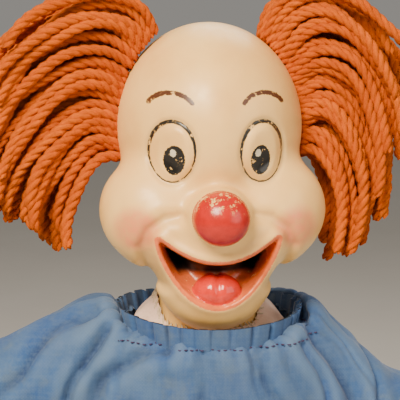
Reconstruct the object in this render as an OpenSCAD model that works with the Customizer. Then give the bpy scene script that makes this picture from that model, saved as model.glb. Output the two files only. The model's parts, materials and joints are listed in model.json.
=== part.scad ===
// Clown marionette: hollow moulded head with yarn hair, jointed wooden body, gathered cotton suit.
// The origin is the middle of the cross rod that carries the head strings.
// +Z is up, the face looks along -Y and the puppet's left side is +X.

/* [Head] */
// Height of the head from crown to chin
head_h = 110; // [106:1:114]
// Wall of the moulded head shell
head_wall = 2.2; // [1.8:0.1:2.6]
// Outer radius of the neck stub
neck_r = 18; // [17:0.5:18.5]
// Distance from the origin to each string loop
loop_x = 50; // [48:1:52]

/* [Body] */
// Height of the shoulder pivots below the origin
shoulder_drop = 108; // [106:1:110]
// Distance of each arm from the middle plane
arm_x = 72; // [71:1:76]
// Height of the waist hinge below the origin
waist_drop = 174; // [172:1:178]
// Height of the hip axle below the origin
hip_drop = 206; // [206:1:210]
// Distance of each leg from the middle plane
leg_x = 21; // [20:1:22]

/* [Limbs] */
// Shoulder pivot to elbow pin
upper_arm_len = 60; // [58:1:66]
// Elbow pin to wrist pin
forearm_len = 52; // [50:1:58]
// Hip axle to knee pin
thigh_len = 68; // [66:1:76]
// Knee pin to ankle pin
shin_len = 64; // [62:1:72]
// Radius of the turned arm pieces
arm_r = 6.5; // [6:0.5:7]
// Radius of the turned leg pieces
leg_r = 8; // [7.5:0.5:8.5]

/* [Fits] */
// Radius of the steel hinge pins
pin_r = 1.5; // [1.3:0.1:1.6]
// Radial running clearance of each turning joint
run_gap = 0.06; // [0.04:0.01:0.09]
// Radius of the hole in each string eye
string_hole_r = 1.8; // [1.5:0.1:2]

/* [Hidden] */
$fn = 48;
BLOB_FN = 36;
LEFT = 1;
RIGHT = -1;
EPS = 0.01;

// Heights of the joints
k = head_h / 110;
chin_z = -76.5 * k;
neck_end_z = chin_z - 4.5;
nod_z = neck_end_z - 7;
chest_top_z = nod_z - 10;
shoulder_z = -shoulder_drop;
waist_z = -waist_drop;
hip_z = -hip_drop;
elbow_z = shoulder_z - upper_arm_len;
wrist_z = elbow_z - forearm_len;
knee_z = hip_z - thigh_len;
ankle_z = knee_z - shin_len;
sole_z = ankle_z - 22;

// Head cross rod
rod_r = 1.2;
eye_wire = 2.4;

// Neck swivel
plug_flange = 2;
plug_h = 8;
bolt_r = 1.7;
neck_eye_w = 3;

// Chest and pelvis blocks
chest_half_w = 54;
waist_half_w = 34;
block_half_d = 14;
pelvis_half_w = 34;
tongue_w = 14;

// Limb hinges
tongue_t = 4;
slot_t = 4.8;
arm_gap = 9.5;
leg_gap = 11.5;

// Cloth pieces
cloth = 1.6;
sleeve_r = 17;
leg_cloth_r = 18.5;

// Colours
VINYL = [0.90, 0.82, 0.63];
YARN = [0.86, 0.38, 0.10];
WOOD = [0.78, 0.62, 0.40];
STEEL = [0.72, 0.72, 0.74];
BRASS = [0.80, 0.62, 0.28];
COTTON = [0.36, 0.52, 0.70];
CALICO = [0.88, 0.76, 0.70];
SHOE = [0.62, 0.10, 0.08];
SOLE = [0.16, 0.12, 0.10];

// A cylinder from point p along X or Y, length h, centred on p
module bar_x(p, r, h) {
    translate(p) rotate([0, 90, 0]) cylinder(r = r, h = h, center = true);
}

module bar_y(p, r, h) {
    translate(p) rotate([90, 0, 0]) cylinder(r = r, h = h, center = true);
}

// A box given by its middle and its size
module slab(p, size) {
    translate(p) cube(size, center = true);
}

// Ring of an eye: straight bore, chamfered edges, hole along Z
module eye_ring(hole_r, wire, width) {
    c = 0.4;
    rotate_extrude() polygon([
        [hole_r, c - width / 2], [hole_r + c, -width / 2],
        [hole_r + wire - c, -width / 2], [hole_r + wire, c - width / 2],
        [hole_r + wire, width / 2 - c], [hole_r + wire - c, width / 2],
        [hole_r + c, width / 2], [hole_r, width / 2 - c]
    ]);
}

// An egg-shaped blob given by its centre and its three radii
module blob(c, r, grow) {
    translate(c * k) scale([r[0] * k + grow, r[1] * k + grow, r[2] * k + grow])
        sphere(r = 1, $fn = BLOB_FN);
}

// Plain form of the head without nose and neck; grow moves its surface out
module head_form(grow = 0) {
    hull() {
        blob([0, 0, -5.5], [34, 41, 39], grow);
        for (s = [LEFT, RIGHT]) blob([s * 16.5, -18, -34], [24.5, 21, 21], grow);
        blob([0, -21, -55], [21, 18, 21.5], grow);
    }
}

module head_shell() {
    color(VINYL) difference() {
        union() {
            head_form();
            translate([0, 0, neck_end_z]) cylinder(r = neck_r, h = 34);
            translate([0, -42, -34] * k) sphere(r = 9 * k, $fn = 32);
        }
        head_form(-head_wall);
        translate([0, 0, neck_end_z - 1]) cylinder(r = neck_r - head_wall, h = 34);
        bar_x([0, 0, 0], rod_r + 0.15, 90);
    }
}

// Steel rod through the head with a closed loop at each end for the head strings
module head_cross_rod() {
    color(STEEL) union() {
        bar_x([0, 0, 0], rod_r, 2 * (loop_x - string_hole_r - eye_wire / 2));
        for (s = [LEFT, RIGHT])
            translate([s * loop_x, 0, 0]) rotate([90, 0, 0]) eye_ring(string_hole_r, eye_wire, eye_wire);
    }
}

// Wooden plug that closes the neck stub and guides the swivel bolt
module neck_plug() {
    color(WOOD) difference() {
        union() {
            translate([0, 0, neck_end_z]) cylinder(r = neck_r - head_wall - 0.2, h = plug_h);
            translate([0, 0, neck_end_z - plug_flange]) cylinder(r = neck_r, h = plug_flange);
        }
        translate([0, 0, neck_end_z - plug_flange - 1]) cylinder(r = bolt_r + run_gap, h = plug_h + 6);
    }
}

// Cloth strip that follows the side of the head and carries the yarn
module hair_strip(s) {
    color(YARN) intersection() {
        difference() {
            head_form(1.4);
            head_form(0.05);
            bar_x([s * 30, 0, 0], rod_r + 1, 40);
        }
        slab([s * 30, 9, 0] * k, [24 * k, 30 * k, 56 * k]);
    }
}

// Soft mass of yarn in two lumps, with the string loop between them
module hair_tuft(s) {
    color(YARN) difference() {
        union() {
            hull() {
                translate([s * 34, 12, 26] * k) sphere(r = 14, $fn = 24);
                translate([s * 60, 6, 23] * k) sphere(r = 14, $fn = 24);
                translate([s * 70, 3, 13] * k) sphere(r = 11, $fn = 24);
            }
            hull() {
                translate([s * 42, 12, -17] * k) sphere(r = 12, $fn = 24);
                translate([s * 67, 5, -18] * k) sphere(r = 14, $fn = 24);
                translate([s * 55, 8, -34] * k) sphere(r = 15, $fn = 24);
            }
        }
        head_form(1.45);
        slab([s * 60, 0, 0], [80, 80, 12]);
    }
}

module hair_strip_left() { hair_strip(LEFT); }
module hair_strip_right() { hair_strip(RIGHT); }
module hair_tuft_left() { hair_tuft(LEFT); }
module hair_tuft_right() { hair_tuft(RIGHT); }

// Bolt that turns in the neck plug; its eye hangs on the neck pin
module neck_eye_bolt() {
    color(STEEL) difference() {
        union() {
            translate([0, 0, nod_z + 2]) cylinder(r = bolt_r, h = neck_end_z + plug_h + 5 - nod_z - 2);
            bar_x([0, 0, nod_z], 3.6, neck_eye_w);
        }
        bar_x([0, 0, nod_z], pin_r + run_gap, neck_eye_w + 2);
    }
}

module neck_bolt_nut() {
    color(STEEL) translate([0, 0, neck_end_z + plug_h + 0.1]) difference() {
        cylinder(r = 4.2, h = 3, $fn = 6);
        translate([0, 0, -1]) cylinder(r = bolt_r, h = 5);
    }
}

// Cloth funnel sewn round the neck
module neck_cloth() {
    color(CALICO) translate([0, 0, chin_z - 9.5]) difference() {
        cylinder(r = neck_r + 2, h = 7.5);
        translate([0, 0, -1]) cylinder(r = neck_r + 0.5, h = 10);
    }
}

// Elastic in the casing of the neckline
module neck_elastic() {
    color(CALICO) translate([0, 0, chin_z - 4]) rotate_extrude()
        translate([27, 0]) circle(r = 1.2, $fn = 24);
}

// Outline of the chest seen from the front
module chest_outline() {
    polygon([
        [-20, chest_top_z], [20, chest_top_z], [chest_half_w - 4, shoulder_z + 7],
        [chest_half_w, shoulder_z + 3], [chest_half_w, shoulder_z - 5], [46, shoulder_z - 14],
        [40, shoulder_z - 34], [waist_half_w, waist_z + 8], [-waist_half_w, waist_z + 8],
        [-40, shoulder_z - 34], [-46, shoulder_z - 14], [-chest_half_w, shoulder_z - 5],
        [-chest_half_w, shoulder_z + 3], [-chest_half_w + 4, shoulder_z + 7]
    ]);
}

// Plan of the chest: a bar with rounded corners
module chest_plan(r = 12) {
    square([2 * (chest_half_w - r), 2 * block_half_d], center = true);
    square([2 * chest_half_w, 2 * (block_half_d - r)], center = true);
    for (x = [-1, 1], y = [-1, 1])
        translate([x * (chest_half_w - r), y * (block_half_d - r)]) circle(r = r);
}

module chest_block() {
    ear_x = tongue_w / 2 + 6.5;
    color(WOOD) difference() {
        union() {
            intersection() {
                translate([0, block_half_d, 0]) rotate([90, 0, 0])
                    linear_extrude(height = 2 * block_half_d) chest_outline();
                translate([0, 0, waist_z]) linear_extrude(height = chest_top_z - waist_z) chest_plan();
            }
            for (s = [LEFT, RIGHT]) {
                bar_x([s * ear_x, 0, waist_z], 6, 12);
                slab([s * ear_x, 0, waist_z + 5], [12, 12, 10]);
            }
        }
        for (s = [LEFT, RIGHT]) {
            bar_x([s * (chest_half_w - 10), 0, shoulder_z], bolt_r + run_gap, 24);
            slab([s * (chest_half_w - 20), -7, shoulder_z], [7, 22, 10]);
        }
        slab([0, 0, waist_z + 4], [tongue_w + 1, 40, 14]);
        bar_x([0, 0, waist_z], 2, 60);
        for (p = screw_places()) translate([p[0], p[1], chest_top_z - 9]) cylinder(r = 1.2, h = 10);
    }
}

function screw_places() = [[-8, 0], [8, 0]];

// U-shaped steel bracket on the chest with an ear on each side of the neck eye
module neck_yoke() {
    ear_in = neck_eye_w / 2 + 0.4;
    ear_t = 1.4;
    base_t = 1.5;
    color(STEEL) difference() {
        union() {
            slab([0, 0, chest_top_z + base_t / 2], [26, 10, base_t]);
            for (s = [LEFT, RIGHT]) {
                x = s * (ear_in + ear_t / 2);
                bar_x([x, 0, nod_z], 3.8, ear_t);
                slab([x, 0, (chest_top_z + nod_z) / 2], [ear_t, 7.6, nod_z - chest_top_z]);
            }
        }
        bar_x([0, 0, nod_z], pin_r, 20);
        for (p = screw_places()) translate([p[0], p[1], chest_top_z - 1]) cylinder(r = 1.2, h = 4);
    }
}

module yoke_screws() {
    color(STEEL) for (p = screw_places()) translate([p[0], p[1], chest_top_z + 1.5]) {
        translate([0, 0, -10]) cylinder(r = 1.2, h = 10);
        difference() {
            cylinder(r = 2.3, h = 1.2);
            slab([0, 0, 1], [6, 0.7, 0.9]);
        }
    }
}

module neck_pin() {
    color(STEEL) union() {
        bar_x([0, 0, nod_z], pin_r, 7.4);
        for (s = [LEFT, RIGHT]) bar_x([s * 4, 0, nod_z], pin_r + 0.8, 1);
    }
}

// Stuffed calico pads on the front and the back of the chest
module chest_pads() {
    color(CALICO) for (s = [LEFT, RIGHT]) hull() {
        translate([0, s * (block_half_d + 1.5), 0]) rotate([90, 0, 0])
            linear_extrude(height = 2, center = true) intersection() {
                chest_outline();
                polygon([[-43, chest_top_z], [43, chest_top_z], [33, waist_z + 9], [-33, waist_z + 9]]);
            }
        translate([0, s * (block_half_d + 5), -132]) rotate([90, 0, 0])
            scale([26, 22, 1]) cylinder(r = 1, h = 4, center = true, $fn = 32);
    }
}

// Rows of the tunic: height, half width and half depth
function tunic_rows() = [
    [chin_z - 7.5, 38, 34], [shoulder_z + 17, 48, 33], [shoulder_z + 8, 57, 31],
    [shoulder_z, 60, 30], [shoulder_z - 8, 56, 30], [shoulder_z - 18, 50, 31],
    [shoulder_z - 34, 46, 32], [waist_z + 14, 43, 33]
];

// Point of a flattened ring: power 2 is an ellipse, a higher power is squarer
function ring_point(w, d, z, a, power) =
    let (c = cos(a), s = sin(a), q = pow(pow(abs(c), power) + pow(abs(s), power), -1 / power))
    [w * q * c, d * q * s, z];

// Hollow cloth tube through rows of [height, half width, half depth]
module cloth_tube(rows, thick, sides = 40, power = 2.4) {
    n = len(rows);
    outer = [for (r = rows, i = [0:sides - 1]) ring_point(r[1], r[2], r[0], i * 360 / sides, power)];
    inner = [for (r = rows, i = [0:sides - 1])
        ring_point(r[1] - thick, r[2] - thick, r[0], i * 360 / sides, power)];
    m = n * sides;
    walls = [for (j = [0:n - 2], i = [0:sides - 1]) let (a = j * sides + i, b = j * sides + (i + 1) % sides)
        each [[a, a + sides, b + sides, b], [m + a, m + b, m + b + sides, m + a + sides]]];
    rims = [for (i = [0:sides - 1]) let (b = (i + 1) % sides, low = (n - 1) * sides)
        each [[i, b, m + b, m + i], [low + b, low + i, m + low + i, m + low + b]]];
    polyhedron(points = concat(outer, inner), faces = concat(walls, rims));
}

// Body of the suit from the gathers down to the waist, with a round armhole on each side
module tunic() {
    color(COTTON) difference() {
        cloth_tube(tunic_rows(), cloth);
        for (s = [LEFT, RIGHT]) bar_x([s * 58, 0, shoulder_z], 12, 20);
    }
}

module waist_pin() {
    color(STEEL) bar_x([0, 0, waist_z], 2, 38);
}

// Eye bolt that turns in the chest and carries the arm
module shoulder_bolt(s) {
    color(STEEL) difference() {
        union() {
            bar_x([s * (chest_half_w + arm_x - 22) / 2, 0, shoulder_z], bolt_r, arm_x - chest_half_w + 16);
            bar_x([s * (chest_half_w - 18.5), 0, shoulder_z], 3.4, 2.6);
            bar_x([s * (chest_half_w + 1.2), 0, shoulder_z], 3.4, 2);
            bar_y([s * arm_x, 0, shoulder_z], 3.6, 3);
        }
        bar_y([s * arm_x, 0, shoulder_z], pin_r + run_gap, 6);
    }
}

module shoulder_bolt_left() { shoulder_bolt(LEFT); }
module shoulder_bolt_right() { shoulder_bolt(RIGHT); }

// Turned limb with a rounded top and a forked bottom end
module forked_limb(x, r, top_z, pivot_z, depth) {
    difference() {
        union() {
            translate([x, 0, pivot_z]) cylinder(r = r, h = top_z - pivot_z);
            translate([x, 0, top_z]) sphere(r = r);
            bar_x([x, 0, pivot_z], r - 0.5, 2 * (r - 1));
        }
        slab([x, 0, pivot_z + (depth - r) / 2], [slot_t, 2 * r + 2, depth + r + 1]);
        bar_x([x, 0, pivot_z], pin_r, 4 * r);
    }
}

// Flat tongue that turns on a pin, joined to the limb below it
module tongue(x, r, pivot_z, gap) {
    difference() {
        union() {
            bar_x([x, 0, pivot_z], r - 1.5, tongue_t);
            slab([x, 0, pivot_z - gap / 2 - 1], [tongue_t, 2 * r - 3, gap + 2]);
        }
        bar_x([x, 0, pivot_z], pin_r + run_gap, tongue_t + 2);
    }
}

// The slot in the top of the arm takes the eye of the shoulder bolt
module upper_arm(s) {
    x = s * arm_x;
    color(WOOD) difference() {
        forked_limb(x, arm_r, shoulder_z, elbow_z, 9);
        slab([x, 0, shoulder_z + 1.5], [4 * arm_r, 3.8, 14]);
        bar_y([x, 0, shoulder_z], pin_r, 4 * arm_r);
    }
}

module shoulder_pin(s) {
    color(STEEL) bar_y([s * arm_x, 0, shoulder_z], pin_r, 2 * arm_r - 1);
}

module upper_sleeve(s) {
    color(COTTON) translate([s * arm_x, 0, 0]) cloth_tube([
        [shoulder_z - 19, sleeve_r - 1.5, sleeve_r - 1.5], [shoulder_z - 26, sleeve_r, sleeve_r],
        [elbow_z + 14, sleeve_r - 1, sleeve_r - 1]
    ], cloth, 32, 2);
}

module elbow_pin(s) {
    color(STEEL) bar_x([s * arm_x, 0, elbow_z], pin_r, 2 * arm_r - 2.5);
}

module upper_arm_left() { upper_arm(LEFT); }
module upper_arm_right() { upper_arm(RIGHT); }
module shoulder_pin_left() { shoulder_pin(LEFT); }
module shoulder_pin_right() { shoulder_pin(RIGHT); }
module upper_sleeve_left() { upper_sleeve(LEFT); }
module upper_sleeve_right() { upper_sleeve(RIGHT); }
module elbow_pin_left() { elbow_pin(LEFT); }
module elbow_pin_right() { elbow_pin(RIGHT); }

module forearm(s) {
    x = s * arm_x;
    r = arm_r - 0.5;
    color(WOOD) union() {
        tongue(x, arm_r, elbow_z, arm_gap);
        forked_limb(x, r, elbow_z - arm_gap - r, wrist_z, 8);
    }
}

module lower_sleeve(s) {
    color(COTTON) translate([s * arm_x, 0, 0]) cloth_tube([
        [elbow_z - 21, sleeve_r - 1, sleeve_r - 1], [wrist_z + 18, sleeve_r - 2, sleeve_r - 2],
        [wrist_z + 9, 9.5, 9.5]
    ], cloth, 32, 2);
}

module wrist_pin(s) {
    color(STEEL) bar_x([s * arm_x, 0, wrist_z], pin_r, 2 * arm_r - 3.5);
}

// Gloved hand: palm towards the body, thumb forward
module hand(s) {
    x = s * arm_x;
    palm_z = wrist_z - 19;
    color(VINYL) union() {
        tongue(x, arm_r - 0.5, wrist_z, 8);
        translate([x, 0, wrist_z - 12]) cylinder(r = 7.5, h = 4.5);
        slab([x, 0, palm_z], [9, 19, 15]);
        bar_y([x, 0, palm_z + 7], 4.5, 19);
        for (f = [-1, 0, 1]) {
            translate([x, f * 6.4, palm_z - 18]) cylinder(r = 3.4, h = 12);
            translate([x, f * 6.4, palm_z - 18]) sphere(r = 3.4);
        }
        translate([x, -9, palm_z + 3]) rotate([-38, 0, 0]) {
            translate([0, 0, -13]) cylinder(r = 3.3, h = 13);
            translate([0, 0, -13]) sphere(r = 3.3);
        }
    }
}

// Screw eye on the back of the hand
module hand_string_eye(s) {
    z = wrist_z - 15;
    color(BRASS) union() {
        bar_x([s * (arm_x + 5.6), 0, z], 0.9, 2.2);
        translate([s * (arm_x + 10), 0, z]) rotate([90, 0, 0]) eye_ring(string_hole_r, 1.8, 2);
    }
}

module forearm_left() { forearm(LEFT); }
module forearm_right() { forearm(RIGHT); }
module lower_sleeve_left() { lower_sleeve(LEFT); }
module lower_sleeve_right() { lower_sleeve(RIGHT); }
module wrist_pin_left() { wrist_pin(LEFT); }
module wrist_pin_right() { wrist_pin(RIGHT); }
module hand_left() { hand(LEFT); }
module hand_right() { hand(RIGHT); }
module hand_string_eye_left() { hand_string_eye(LEFT); }
module hand_string_eye_right() { hand_string_eye(RIGHT); }

// Hip block with a tongue for the waist and a slot for each thigh
module pelvis_block() {
    slot_w = tongue_t + 1;
    top_z = waist_z - 9;
    color(WOOD) difference() {
        union() {
            slab([0, 0, (top_z + hip_z) / 2], [2 * pelvis_half_w, 2 * block_half_d - 4, top_z - hip_z]);
            bar_x([0, 0, hip_z], block_half_d - 2, 2 * pelvis_half_w);
            slab([0, 0, waist_z - 5], [tongue_w, 11, 10]);
            bar_x([0, 0, waist_z], 5.5, tongue_w);
        }
        bar_x([0, 0, waist_z], 2 + run_gap, tongue_w + 4);
        for (s = [LEFT, RIGHT]) slab([s * leg_x, 0, hip_z - 5], [slot_w, 40, 36]);
        bar_x([0, 0, hip_z], 2, 4 * pelvis_half_w);
        bar_y([0, block_half_d - 6, top_z - 8], 0.9, 12);
    }
}

module hip_axle() {
    color(STEEL) bar_x([0, 0, hip_z], 2, 2 * pelvis_half_w - 2);
}

module trouser_seat() {
    color(COTTON) difference() {
        cloth_tube([
            [waist_z - 12, 39, 18.5], [waist_z - 17, 41, 19.5], [hip_z + 9.5, 42, 19.5]
        ], cloth, 40, 4);
        bar_y([0, 20, waist_z - 17], 1.5, 12);
    }
}

// Screw eye in the back of the hip block, through the suit
module back_string_eye() {
    z = waist_z - 17;
    color(BRASS) union() {
        bar_y([0, block_half_d + 3, z], 0.9, 18);
        translate([0, block_half_d + 15, z]) rotate([0, 90, 0]) eye_ring(string_hole_r, 1.8, 2);
    }
}

module thigh(s) {
    x = s * leg_x;
    color(WOOD) difference() {
        union() {
            difference() {
                union() {
                    bar_x([x, 0, hip_z], 6.5, tongue_t);
                    slab([x, 0, hip_z - 10], [tongue_t, 13, 20]);
                }
                bar_x([x, 0, hip_z], 2 + run_gap, tongue_t + 2);
            }
            forked_limb(x, leg_r, hip_z - 15 - leg_r, knee_z, 11);
        }
        bar_y([x, -leg_r + 3, knee_z + 17], 0.9, 8);
    }
}

module knee_pin(s) {
    color(STEEL) bar_x([s * leg_x, 0, knee_z], pin_r, 2 * leg_r - 2.5);
}

// Screw eye above the knee, through the trouser leg
module knee_string_eye(s) {
    z = knee_z + 17;
    color(BRASS) union() {
        bar_y([s * leg_x, -13, z], 0.9, 16);
        translate([s * leg_x, -leg_cloth_r - 5.5, z]) rotate([0, 90, 0]) eye_ring(string_hole_r, 1.8, 2);
    }
}

module trouser_thigh(s) {
    color(COTTON) translate([s * leg_x, 0, 0]) cloth_tube([
        [hip_z - 22, leg_cloth_r, leg_cloth_r], [knee_z + 23.5, leg_cloth_r, leg_cloth_r]
    ], cloth, 32, 2);
}

module thigh_left() { thigh(LEFT); }
module thigh_right() { thigh(RIGHT); }
module knee_pin_left() { knee_pin(LEFT); }
module knee_pin_right() { knee_pin(RIGHT); }
module knee_string_eye_left() { knee_string_eye(LEFT); }
module knee_string_eye_right() { knee_string_eye(RIGHT); }
module trouser_thigh_left() { trouser_thigh(LEFT); }
module trouser_thigh_right() { trouser_thigh(RIGHT); }

// Lower leg: knee tongue on top, ankle tongue below
module shin(s) {
    x = s * leg_x;
    r = leg_r - 1;
    low_z = ankle_z + 14;
    color(WOOD) difference() {
        union() {
            tongue(x, leg_r, knee_z, leg_gap);
            translate([x, 0, low_z]) cylinder(r = r, h = knee_z - leg_gap - low_z);
            translate([x, 0, low_z]) sphere(r = r);
            bar_x([x, 0, ankle_z], 5, tongue_t);
            slab([x, 0, ankle_z + 6.5], [tongue_t, 10, 13]);
        }
        bar_x([x, 0, ankle_z], pin_r + run_gap, tongue_t + 2);
    }
}

module ankle_pin(s) {
    color(STEEL) bar_x([s * leg_x, 0, ankle_z], pin_r, 17);
}

module trouser_shin(s) {
    color(COTTON) translate([s * leg_x, 0, 0]) cloth_tube([
        [knee_z - 17, leg_cloth_r, leg_cloth_r], [ankle_z + 26, leg_cloth_r - 1, leg_cloth_r - 1],
        [ankle_z + 16, 11, 11]
    ], cloth, 32, 2);
}

// Big-toed shoe with a slot for the ankle tongue
module shoe_upper(s) {
    x = s * leg_x;
    color(SHOE) difference() {
        hull() {
            translate([x + s * 1.5, -36, sole_z + 13]) sphere(r = 15, $fn = 32);
            translate([x, 6, sole_z + 12]) sphere(r = 10.5, $fn = 32);
            translate([x, 0, ankle_z + 1]) cylinder(r = 9, h = 4, $fn = 32);
        }
        slab([x, 0, sole_z - 16], [80, 160, 40]);
        slab([x, -2, ankle_z + 7], [slot_t, 36, 26]);
        bar_x([x, 0, ankle_z], pin_r, 40);
    }
}

module shoe_sole(s) {
    x = s * leg_x;
    color(SOLE) translate([0, 0, sole_z]) linear_extrude(height = 3.8) union() {
        translate([x + s * 1.5, -36]) circle(r = 16);
        translate([x, 6]) circle(r = 11.5);
        polygon([[x + s * 1.5 - 16, -36], [x + s * 1.5 + 16, -36], [x + 11.5, 6], [x - 11.5, 6]]);
    }
}

module shin_left() { shin(LEFT); }
module shin_right() { shin(RIGHT); }
module ankle_pin_left() { ankle_pin(LEFT); }
module ankle_pin_right() { ankle_pin(RIGHT); }
module trouser_shin_left() { trouser_shin(LEFT); }
module trouser_shin_right() { trouser_shin(RIGHT); }
module shoe_upper_left() { shoe_upper(LEFT); }
module shoe_upper_right() { shoe_upper(RIGHT); }
module shoe_sole_left() { shoe_sole(LEFT); }
module shoe_sole_right() { shoe_sole(RIGHT); }

head_shell();
head_cross_rod();
neck_plug();
hair_strip_left();
hair_strip_right();
hair_tuft_left();
hair_tuft_right();
neck_eye_bolt();
neck_bolt_nut();
neck_cloth();
neck_elastic();
chest_block();
neck_yoke();
yoke_screws();
neck_pin();
chest_pads();
tunic();
waist_pin();
shoulder_bolt_left();
shoulder_bolt_right();
upper_arm_left();
shoulder_pin_left();
upper_sleeve_left();
elbow_pin_left();
upper_arm_right();
shoulder_pin_right();
upper_sleeve_right();
elbow_pin_right();
forearm_left();
lower_sleeve_left();
wrist_pin_left();
hand_left();
hand_string_eye_left();
forearm_right();
lower_sleeve_right();
wrist_pin_right();
hand_right();
hand_string_eye_right();
pelvis_block();
hip_axle();
trouser_seat();
back_string_eye();
thigh_left();
knee_pin_left();
knee_string_eye_left();
trouser_thigh_left();
thigh_right();
knee_pin_right();
knee_string_eye_right();
trouser_thigh_right();
shin_left();
ankle_pin_left();
trouser_shin_left();
shoe_upper_left();
shoe_sole_left();
shin_right();
ankle_pin_right();
trouser_shin_right();
shoe_upper_right();
shoe_sole_right();
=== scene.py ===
"""Looks of the clown marionette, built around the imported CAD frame.

Lengths are in mm until a mesh is made. In the functions that make shapes, X, Y and Z are places, A is the
distance from the middle plane and U the distance outwards from a hand's or a shoe's middle. d is a signed
distance, negative inside, s is 1 on the left and -1 on the right, and a is an angle round a ring.
"""

import json
import math

import bpy
import numpy as np
import openvdb as vdb
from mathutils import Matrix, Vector
from mathutils.bvhtree import BVHTree


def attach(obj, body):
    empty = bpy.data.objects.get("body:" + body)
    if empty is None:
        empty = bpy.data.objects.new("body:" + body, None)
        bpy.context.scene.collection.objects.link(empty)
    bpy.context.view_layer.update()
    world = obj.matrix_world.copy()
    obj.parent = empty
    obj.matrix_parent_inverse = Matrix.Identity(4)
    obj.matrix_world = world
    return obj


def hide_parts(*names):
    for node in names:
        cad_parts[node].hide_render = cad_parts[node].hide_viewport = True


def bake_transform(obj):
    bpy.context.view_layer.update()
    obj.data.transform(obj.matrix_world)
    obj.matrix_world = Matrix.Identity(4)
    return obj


MM = 0.001
SIDES = ((1, "left"), (-1, "right"))
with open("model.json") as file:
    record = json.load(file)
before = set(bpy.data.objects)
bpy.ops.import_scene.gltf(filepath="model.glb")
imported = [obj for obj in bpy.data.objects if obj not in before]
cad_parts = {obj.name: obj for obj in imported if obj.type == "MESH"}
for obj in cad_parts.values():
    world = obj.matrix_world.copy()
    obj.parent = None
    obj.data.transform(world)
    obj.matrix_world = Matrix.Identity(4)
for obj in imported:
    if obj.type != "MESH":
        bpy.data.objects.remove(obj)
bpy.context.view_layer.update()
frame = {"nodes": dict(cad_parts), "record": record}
scene = bpy.context.scene

# ---------------------------------------------------------------- camera, in metres
VIEW_AZ, VIEW_EL = math.radians(-5), math.radians(9)
DISTANCE, VIEW_WIDTH = 0.46, 0.144
TARGET = Vector((-0.0030, 0.0, -0.0335))
cam_data = bpy.data.cameras.new("camera")
cam_data.sensor_width = 36
cam_data.lens = cam_data.sensor_width * DISTANCE / VIEW_WIDTH
cam_data.clip_start = 0.01
cam_data.clip_end = 50
camera = bpy.data.objects.new("camera", cam_data)
scene.collection.objects.link(camera)
across = math.cos(VIEW_EL)
toward = Vector((math.sin(VIEW_AZ) * across, -math.cos(VIEW_AZ) * across, math.sin(VIEW_EL)))
camera.location = TARGET + toward * DISTANCE
camera.rotation_euler = (-toward).to_track_quat("-Z", "Y").to_euler()
scene.camera = camera


# ---------------------------------------------------------------- numpy shapes
def ell(X, Y, Z, c, r):
    """Signed distance to an ellipsoid, close enough near its surface."""
    x, y, z = (X - c[0]) / r[0], (Y - c[1]) / r[1], (Z - c[2]) / r[2]
    k0 = np.sqrt(x * x + y * y + z * z)
    x, y, z = x / r[0], y / r[1], z / r[2]
    k1 = np.sqrt(x * x + y * y + z * z)
    return k0 * (k0 - 1) / np.maximum(k1, 1e-6)


def capsule(X, Y, Z, a, b, ra, rb):
    """Signed distance to a tapered capsule from a to b."""
    a, b = np.array(a, float), np.array(b, float)
    d = b - a
    t = ((X - a[0]) * d[0] + (Y - a[1]) * d[1] + (Z - a[2]) * d[2]) / (d @ d)
    t = np.clip(t, 0, 1)
    x, y, z = X - a[0] - d[0] * t, Y - a[1] - d[1] * t, Z - a[2] - d[2] * t
    return np.sqrt(x * x + y * y + z * z) - (ra + (rb - ra) * t)


def smin(a, b, k):
    """Smaller of two distances, rounded over a width k where they meet."""
    h = np.maximum(k - np.abs(a - b), 0) / k
    return np.minimum(a, b) - h * h * k * 0.25


def smax(a, b, k):
    return -smin(-a, -b, k)


def step(lo, hi, v):
    """0 at lo, 1 at hi and smooth between."""
    t = np.clip((v - lo) / (hi - lo), 0, 1)
    return t * t * (3 - 2 * t)


def bump(v, width):
    """1 where v is 0, fading out over the width."""
    return np.exp(-((v / width) ** 2))


def line_distance(x, z, pts, closed=False):
    """Distance in the plane to a polyline; negative inside a closed one."""
    pts = np.array(pts, float)
    if closed:
        pts = np.vstack([pts, pts[:1]])
    shape = np.broadcast(x, z).shape
    x, z = np.broadcast_to(x, shape).ravel(), np.broadcast_to(z, shape).ravel()
    best = np.full(x.shape, 1e9)
    inside = np.zeros(x.shape, bool)
    for (ax, az), (bx, bz) in zip(pts[:-1], pts[1:]):
        dx, dz = bx - ax, bz - az
        t = np.clip(((x - ax) * dx + (z - az) * dz) / (dx * dx + dz * dz + 1e-12), 0, 1)
        best = np.minimum(best, np.hypot(x - ax - dx * t, z - az - dz * t))
        if closed:
            cross = (az > z) != (bz > z)
            at = ax + (z - az) * dx / (dz if abs(dz) > 1e-12 else 1e-12)
            inside ^= cross & (x < at)
    return np.where(inside, -best, best).reshape(shape)


def arc(cx, cz, rx, rz, a0, a1, n=40):
    """n points on an ellipse about (cx, cz), between two angles in degrees."""
    a = np.radians(np.linspace(a0, a1, n))
    return np.stack([cx + rx * np.cos(a), cz + rz * np.sin(a)], 1)


def unit(rows):
    return rows / np.linalg.norm(rows, axis=1)[:, None]


def lengths_along(path):
    """Length of the path from its start to each of its points."""
    return np.concatenate([[0], np.cumsum(np.linalg.norm(np.diff(path, axis=0), axis=1))])


NOISE_SLOPES = unit(np.random.default_rng(5).normal(size=(256, 3)))
NOISE_ORDER = np.random.default_rng(6).permutation(256)


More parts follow.
